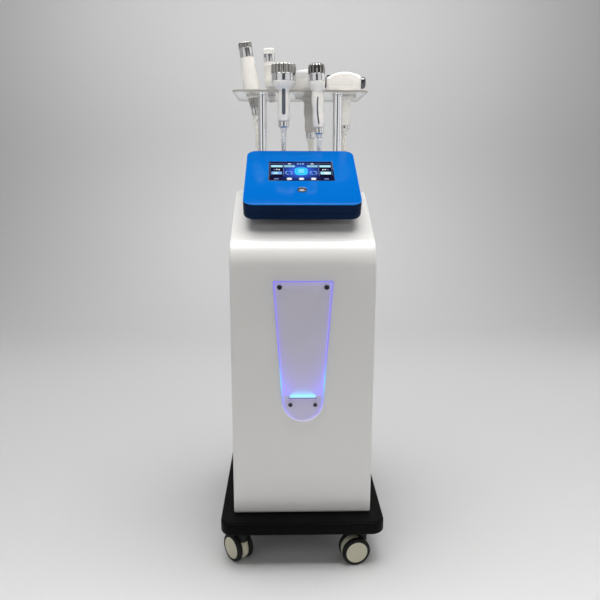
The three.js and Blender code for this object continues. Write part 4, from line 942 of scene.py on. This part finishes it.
# Handles waved alike: shares of the radius and of the way up the tail, then of the flare to the shoulder
GRIP_WAVES = ((0.93, 0), (0.985, 0.07), (1.015, 0.22), (0.96, 0.36), (0.93, 0.45), (0.97, 0.56),
              (1.025, 0.7), (1.0, 0.82), (0.95, 0.97))
FLARE_WAVES = ((0.19, 0.24), (0.7, 0.55), (0.95, 0.85))
INSET_LIFT = 0.25


def capsule(low, high, half):
    """(height, half width) pairs of a slot with round ends."""
    ends = quarter(6)
    return ([(low + half * (1 - cos(a)), half * sin(a)) for a in ends]
            + [(low + (high - low) * k / 10, half) for k in range(1, 10)]
            + [(high - half * (1 - cos(a)), half * sin(a)) for a in reversed(ends)])


def radius_in(profile, height):
    for (r0, z0), (r1, z1) in zip(profile, profile[1:]):
        if z0 <= height <= z1 and z1 > z0:
            return r0 + (r1 - r0) * (height - z0) / (z1 - z0)
    return profile[-1][0]


def make_waved_handle(name, radius, flare, neck, shoulder, inset, bow=0.0):
    """A handle up to the ring under the head, with an inset wrapped on its front and bowed to the left."""
    tail = HANDPIECES[name]["tail"]
    grip = flowing([(radius * wide, tail * (1 - up)) for wide, up in GRIP_WAVES])
    waves = [(neck + (shoulder - neck) * wide, flare * up) for wide, up in FLARE_WAVES]
    rise = flowing([(neck, SEAT)] + waves + [(shoulder, flare - 1.2)])
    outline = [(0, tail), (radius * 0.9, tail)] + grip + rise + [(shoulder - 0.6, flare), (0, flare)]
    handle, rows = Shape(axis_frame(name)), []
    handle.turn(outline, 80)
    low, high = inset[0][0], inset[-1][0]
    for up, half in inset:
        reach = radius_in(outline, up) + INSET_LIFT
        middle = -bow * sin(pi * (up - low) / (high - low))
        rows.append([(across, -sqrt(max(reach ** 2 - across ** 2, 0)), up)
                     for across in (middle + half * k / 4 for k in range(-4, 5))])
    handle.sheet(rows, 1)
    handle.make(f"{name}_handle", [pearl, inset_grey], [f"{name}_body"], name)


def make_body_rf():
    make_waved_handle("body_rf", 17.6, 24, 19, 34.2, capsule(-66, 4, 5.2))
    ring = fillet([(0, 24.3), (33.6, 24.3), (34.2, 25, 0.6), (34.2, 44.1, 0.6), (33.6, 44.8), (0, 44.8)])
    crown = fillet([(0, 44.5), (34.6, 44.5), (34.8, 67, 1.5), (32.6, 70.2, 2), (27, 70.2, 1), (26, 66),
                    (0, 66)])
    make_turned("body_rf", "crown", "head", [satin, brushed],
                (ring, 96), (crown, 192, 1, fluted(16, 0.17, 0.32)))
    make_tail("body_rf", 15.5, 13.4, 3, 9.2, 8.3)


DOME_RIBS = 14
DOME_RIB_HALF = 2.6
DOME_RIB = ((-3, -0.8), (-0.6, -0.9), (0, -0.5), (0.2, 0), (0, 0.5), (-0.6, 0.9), (-3, 0.8))  # out, across


def make_face_rf():
    name = "face_rf"
    make_waved_handle(name, 17, 23.7, 18.6, 23.4, capsule(-92, -18, 2.2), 2.6)
    head = Shape(axis_frame(name))
    head.turn(fillet([(0, 24), (22.8, 24), (23.4, 24.6, 0.5), (23.4, 43.2, 0.5), (22.8, 44), (0, 44)]), 80)
    # The dome's core under the ribs is near black: painted shade between the ribs.
    head.turn([(21.6, 43.8), (21.8, 57)] + arc((9.8, 59), 12, 0, 90, 10) + [(0, 71.2)], 80, 2)
    path = fillet([(23.6, 43.6), (23.7, 58, 4), (21.4, 69, 7), (8, 73)], 8)
    for k in range(DOME_RIBS):
        turn = Matrix.Rotation(2 * pi * (k + 0.5) / DOME_RIBS, 4, "Z")
        rows = []
        for radius, height in path:
            half = DOME_RIB_HALF * min(1, radius / 14)
            rows.append([turn @ Vector((radius + out, across * half, height)) for out, across in DOME_RIB])
        head.loft(rows, 1, (1, 1))
    head.make(f"{name}_dome", [satin, brushed, gap_painted_shade], [f"{name}_head"], name)
    make_tail(name, 13.6, 12.2, 3, 8.9, 8.2)


def make_cavitation():
    name = "cavitation"
    tail = HANDPIECES[name]["tail"]
    grip = flowing([(radius, tail + up) for radius, up in
                    ((14.2, 0), (15, 8), (16, 18), (13.8, 32), (14.2, 42), (15.9, 57), (14.4, 71), (13, 83),
                     (16, 92))])
    under = flowing([(16, tail + 92), (22, -11.6), (32, -8), (39, -SEAT)])
    bowl = flowing([(41, SEAT), (47, 7), (50, 16.5), (46.5, 32), (41.8, 45)])
    # The bowl and handle take the darker grey, which is partly painted shade.
    make_turned(name, "bowl", "body", [grey_and_painted_shade],
                ([(0, tail)] + grip + under[1:] + bowl + [(41.2, 46), (0, 46)], 88))
    face = fillet([(0, 46.3), (39.6, 46.3), (40.2, 47, 0.6), (39.6, 62, 4), (36, 70.4, 6), (29, 71.6, 1),
                   (28, 70.6), (0, 70.6)])
    make_turned(name, "face", "head", [sleeve_grey, steel],
                (face, 96), ([(27.6, 70.5), (27, 71.2), (0, 71.3)], 96, 1))
    make_tail(name, 13.6, 11.7, 5, 9.4, 8.3)


HOOD_LEFT, HOOD_RIGHT, HOOD_LOW = -56.0, 44.4, 9.0
HOOD_ARCH = ((34.5, 54.3), (22, 58.6), (9.7, 61), (-2.7, 61.7), (-15, 61), (-27.5, 58.6), (-40, 54),
             (-50, 48.8))
HOOD_FRONT, FRONT_EDGE = -34.0, 9.0
HOOD_BACK, BACK_EDGE = 9.0, 3.0
DRUM_REACH = 59.0


def hood_loop(inset, y):
    """The roller's hood seen from the front, drawn in by inset."""
    left, right = HOOD_LEFT + inset, HOOD_RIGHT - inset
    top = flowing([(right, 49.5 - inset)] + [(x, z - inset) for x, z in HOOD_ARCH] + [(left, 45 - inset)], 4)
    line = [(left, 38), (left, HOOD_LOW + inset), (right, HOOD_LOW + inset), (right, 40)] + top
    return [(x, y, z) for x, z in line]


def make_roller():
    place, tail = axis_frame("roller"), HANDPIECES["roller"]["tail"]
    front = [(FRONT_EDGE * (1 - sin(a)), FRONT_EDGE * (1 - cos(a)) + HOOD_FRONT) for a in quarter(5)]
    back = [(BACK_EDGE * (1 - cos(a)), HOOD_BACK + BACK_EDGE * sin(a)) for a in quarter(5)]
    hood = Shape(place)
    hood.loft([hood_loop(inset, y) for inset, y in front + back])
    neck = fillet([(18.2, tail + 1), (18.4, -20), (18.6, -15, 1), (26.6, -12, 2), (27.2, -10.4, 0.4),
                   (27.2, -8.8, 0.4), (26.8, -8.6), (33, -SEAT, 2), (34.8, SEAT, 0.3), (38, 8, 6),
                   (38, 13.6, 1), (0, 14)])
    hood.turn([(0, tail), (17.6, tail)] + neck, 80)
    hood.make("roller_hood", [pearl], ["roller_body"], "roller", 40)
    seam = Shape(place)
    seam.box((HOOD_LEFT - 0.15, HOOD_FRONT - 0.15, 24.6), (HOOD_RIGHT + 0.15, 8, 25.3))
    seam.make("roller_seam", [sleeve_grey], (), "roller")
    drum = Shape(place)
    end = fillet([(21.5, 36), (21.5, 40.5, 1), (17.2, 42.5, 0.6), (17.2, DRUM_REACH - 3, 4),
                  (13, DRUM_REACH + 0.8, 3), (6, DRUM_REACH + 2, 2), (0, DRUM_REACH + 2)])
    drum.turn([(radius, -out) for radius, out in reversed(end)] + end, 80, at=(0, 2, 34.5), axis="X")
    drum.make("roller_barrel", [dark_chrome], ["roller_drum"], "drum")
    # A near-black box in the hollow of the hood: painted shade inside the hood.
    chamber = Shape(place)
    chamber.box((HOOD_LEFT + 3, 2, 12), (HOOD_RIGHT - 3, 12.3, 56))
    chamber.make("roller_chamber", [gap_painted_shade], (), "roller")
    make_tail("roller", 16.8, 11.4, 6, 8.9, 8.2)


make_contour_probe()
make_lift_probe()
make_body_rf()
make_face_rf()
make_cavitation()
make_roller()


# Rear panel
REAR_WIDTH, REAR_GAP, REAR_SCREW_X = 348.0, 6.0, 166.0
VENT_X, VENT_HALF, VENT_HEIGHT = 75.0, 45.0, 4.0
VENT_LOW, VENT_PITCH = DECK + 620.0, 12.0
GLAND = fillet([(6.8, 29.4), (7.2, 30, 0.3), (9.3, 30, 0.5), (9.5, 29, 0.5), (11, 6.4), (11.4, 6, 0.4),
                (12.6, 6, 0.5), (13, 5, 0.5), (13, 0)])


def make_rear():
    panel = Shape()
    low, high = DECK + REAR_GAP, CABINET_TOP - REAR_BEND - REAR_GAP
    middle = (low + high) / 2
    panel.loft([[(x, y, z + middle) for x, z in plan(REAR_WIDTH, high - low, 4, inset)]
                for inset, y in ((0, REAR_FACE - 2), (0, REAR_FACE - 0.4), (0.4, REAR_FACE))])
    for name in HOSED:
        panel.turn(GLAND, 48, 1, at=(HANDPIECES[name]["gland"], REAR_FACE, GLAND_HEIGHT), axis="Y")
    # Each vent is a near-black strip: painted shade in the vent's slot.
    for side in (-VENT_X, VENT_X):
        for row in range(5):
            bottom = VENT_LOW + VENT_PITCH * row
            panel.box((side - VENT_HALF, REAR_FACE - 0.5, bottom),
                      (side + VENT_HALF, REAR_FACE + 0.05, bottom + VENT_HEIGHT), 2)
    screw = fillet([(0, 1.4), (3.2, 1.2, 1), (3.8, 0.2), (3.8, 0)])
    for x in (-REAR_SCREW_X, REAR_SCREW_X):
        for z in (low + 12, middle, high - 12):
            panel.turn(screw, 24, 3, at=(x, REAR_FACE, z), axis="Y")
    panel.make("rear_cover", [white_paint, black_plate, gap_painted_shade, steel], ["rear_panel"])


make_rear()

# Solids that keep their plain shape get the machine's own materials
KEPT = {"mains_inlet": black_plate, "mains_switch": black_plate, "power_supply": steel, "heat_sink": steel,
        "generator_board": board_green, "vacuum_pump": steel, "console_stand": black_plate}
for node, finish in KEPT.items():
    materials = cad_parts[node].data.materials
    materials.clear()
    materials.append(finish)


# Studio: a pale floor that curves up behind, a soft light overhead and weaker ones around
FLOOR_WIDTH, FLOOR_BEND, BACK_HEIGHT = 9000.0, 1200.0, 3000.0
FLOOR_NEAR, FLOOR_FAR = -4500.0, 3200.0
FLOOR_DROP = 0.05  # below the wheels


def make_studio():
    floor, start = Shape(), FLOOR_FAR - FLOOR_BEND
    bend = [(start + FLOOR_BEND * sin(a), FLOOR_BEND - FLOOR_BEND * cos(a)) for a in quarter(12)]
    floor.sheet([[(x, y, z - FLOOR_DROP) for x in (-FLOOR_WIDTH / 2, FLOOR_WIDTH / 2)]
                 for y, z in [(FLOOR_NEAR, 0)] + bend + [(FLOOR_FAR, BACK_HEIGHT)]])
    paper = worn("paper", 1.5, (0.6, 0.8), (0.62, 0.62, 0.62))
    backdrop = floor.make("backdrop", [paper], (), None, 180)


def add_light(name, place, target, size, power, spread=180, shine=True):
    """A soft light, in metres and watts; without shine it stays out of reflections."""
    lamp = bpy.data.lights.new(name, "AREA")
    lamp.shape, lamp.size, lamp.size_y = "RECTANGLE", size[0], size[1]
    lamp.energy, lamp.spread = power, radians(spread)
    light = add_object(name, lamp)
    light.location = place
    light.rotation_euler = (Vector(target) - Vector(place)).to_track_quat("-Z", "Y").to_euler()
    light.visible_camera = False
    light.visible_glossy = shine


make_studio()
add_light("overhead", (0, -0.45, 3.3), (0, -0.35, 0), (2.8, 1.4), 51)
add_light("side_left", (-1.55, -1.9, 1.15), (0, 0, 1.05), (2.2, 1.5), 7.6)
add_light("side_right", (1.55, -1.9, 1.15), (0, 0, 1.05), (2.2, 1.5), 7.6)
add_light("heads", (0, -1.7, 1.75), (0, 0.1, 1.25), (1.6, 0.5), 1.05, 28, False)
add_light("floor_front", (0, -1.1, 3.2), (0, -0.8, 0), (3, 0.4), 3, 42, False)
add_light("floor_low", (0, -0.9, 0.7), (0, -0.75, 0), (2.2, 0.3), 0.7, 90, False)
add_light("wing_left", (-2.4, 0.4, 1.6), (0, 0, 1), (2.4, 2.2), 6)
add_light("wing_right", (2.4, 0.4, 1.6), (0, 0, 1), (2.4, 2.2), 15)
add_light("back_wash", (0, 1.7, 2.7), (0, 3.2, 1.5), (4, 0.5), 20)
add_light("floor_wash", (0, 0.5, 3.6), (0, 0.7, 0), (3.6, 1.2), 57)
world = bpy.data.worlds.new("studio")
world.use_nodes = True
background = world.node_tree.nodes["Background"]
background.inputs["Color"].default_value = (0.8, 0.8, 0.82, 1)
background.inputs["Strength"].default_value = 0.08
bpy.context.scene.world = world
bpy.context.scene.view_settings.view_transform = "Standard"
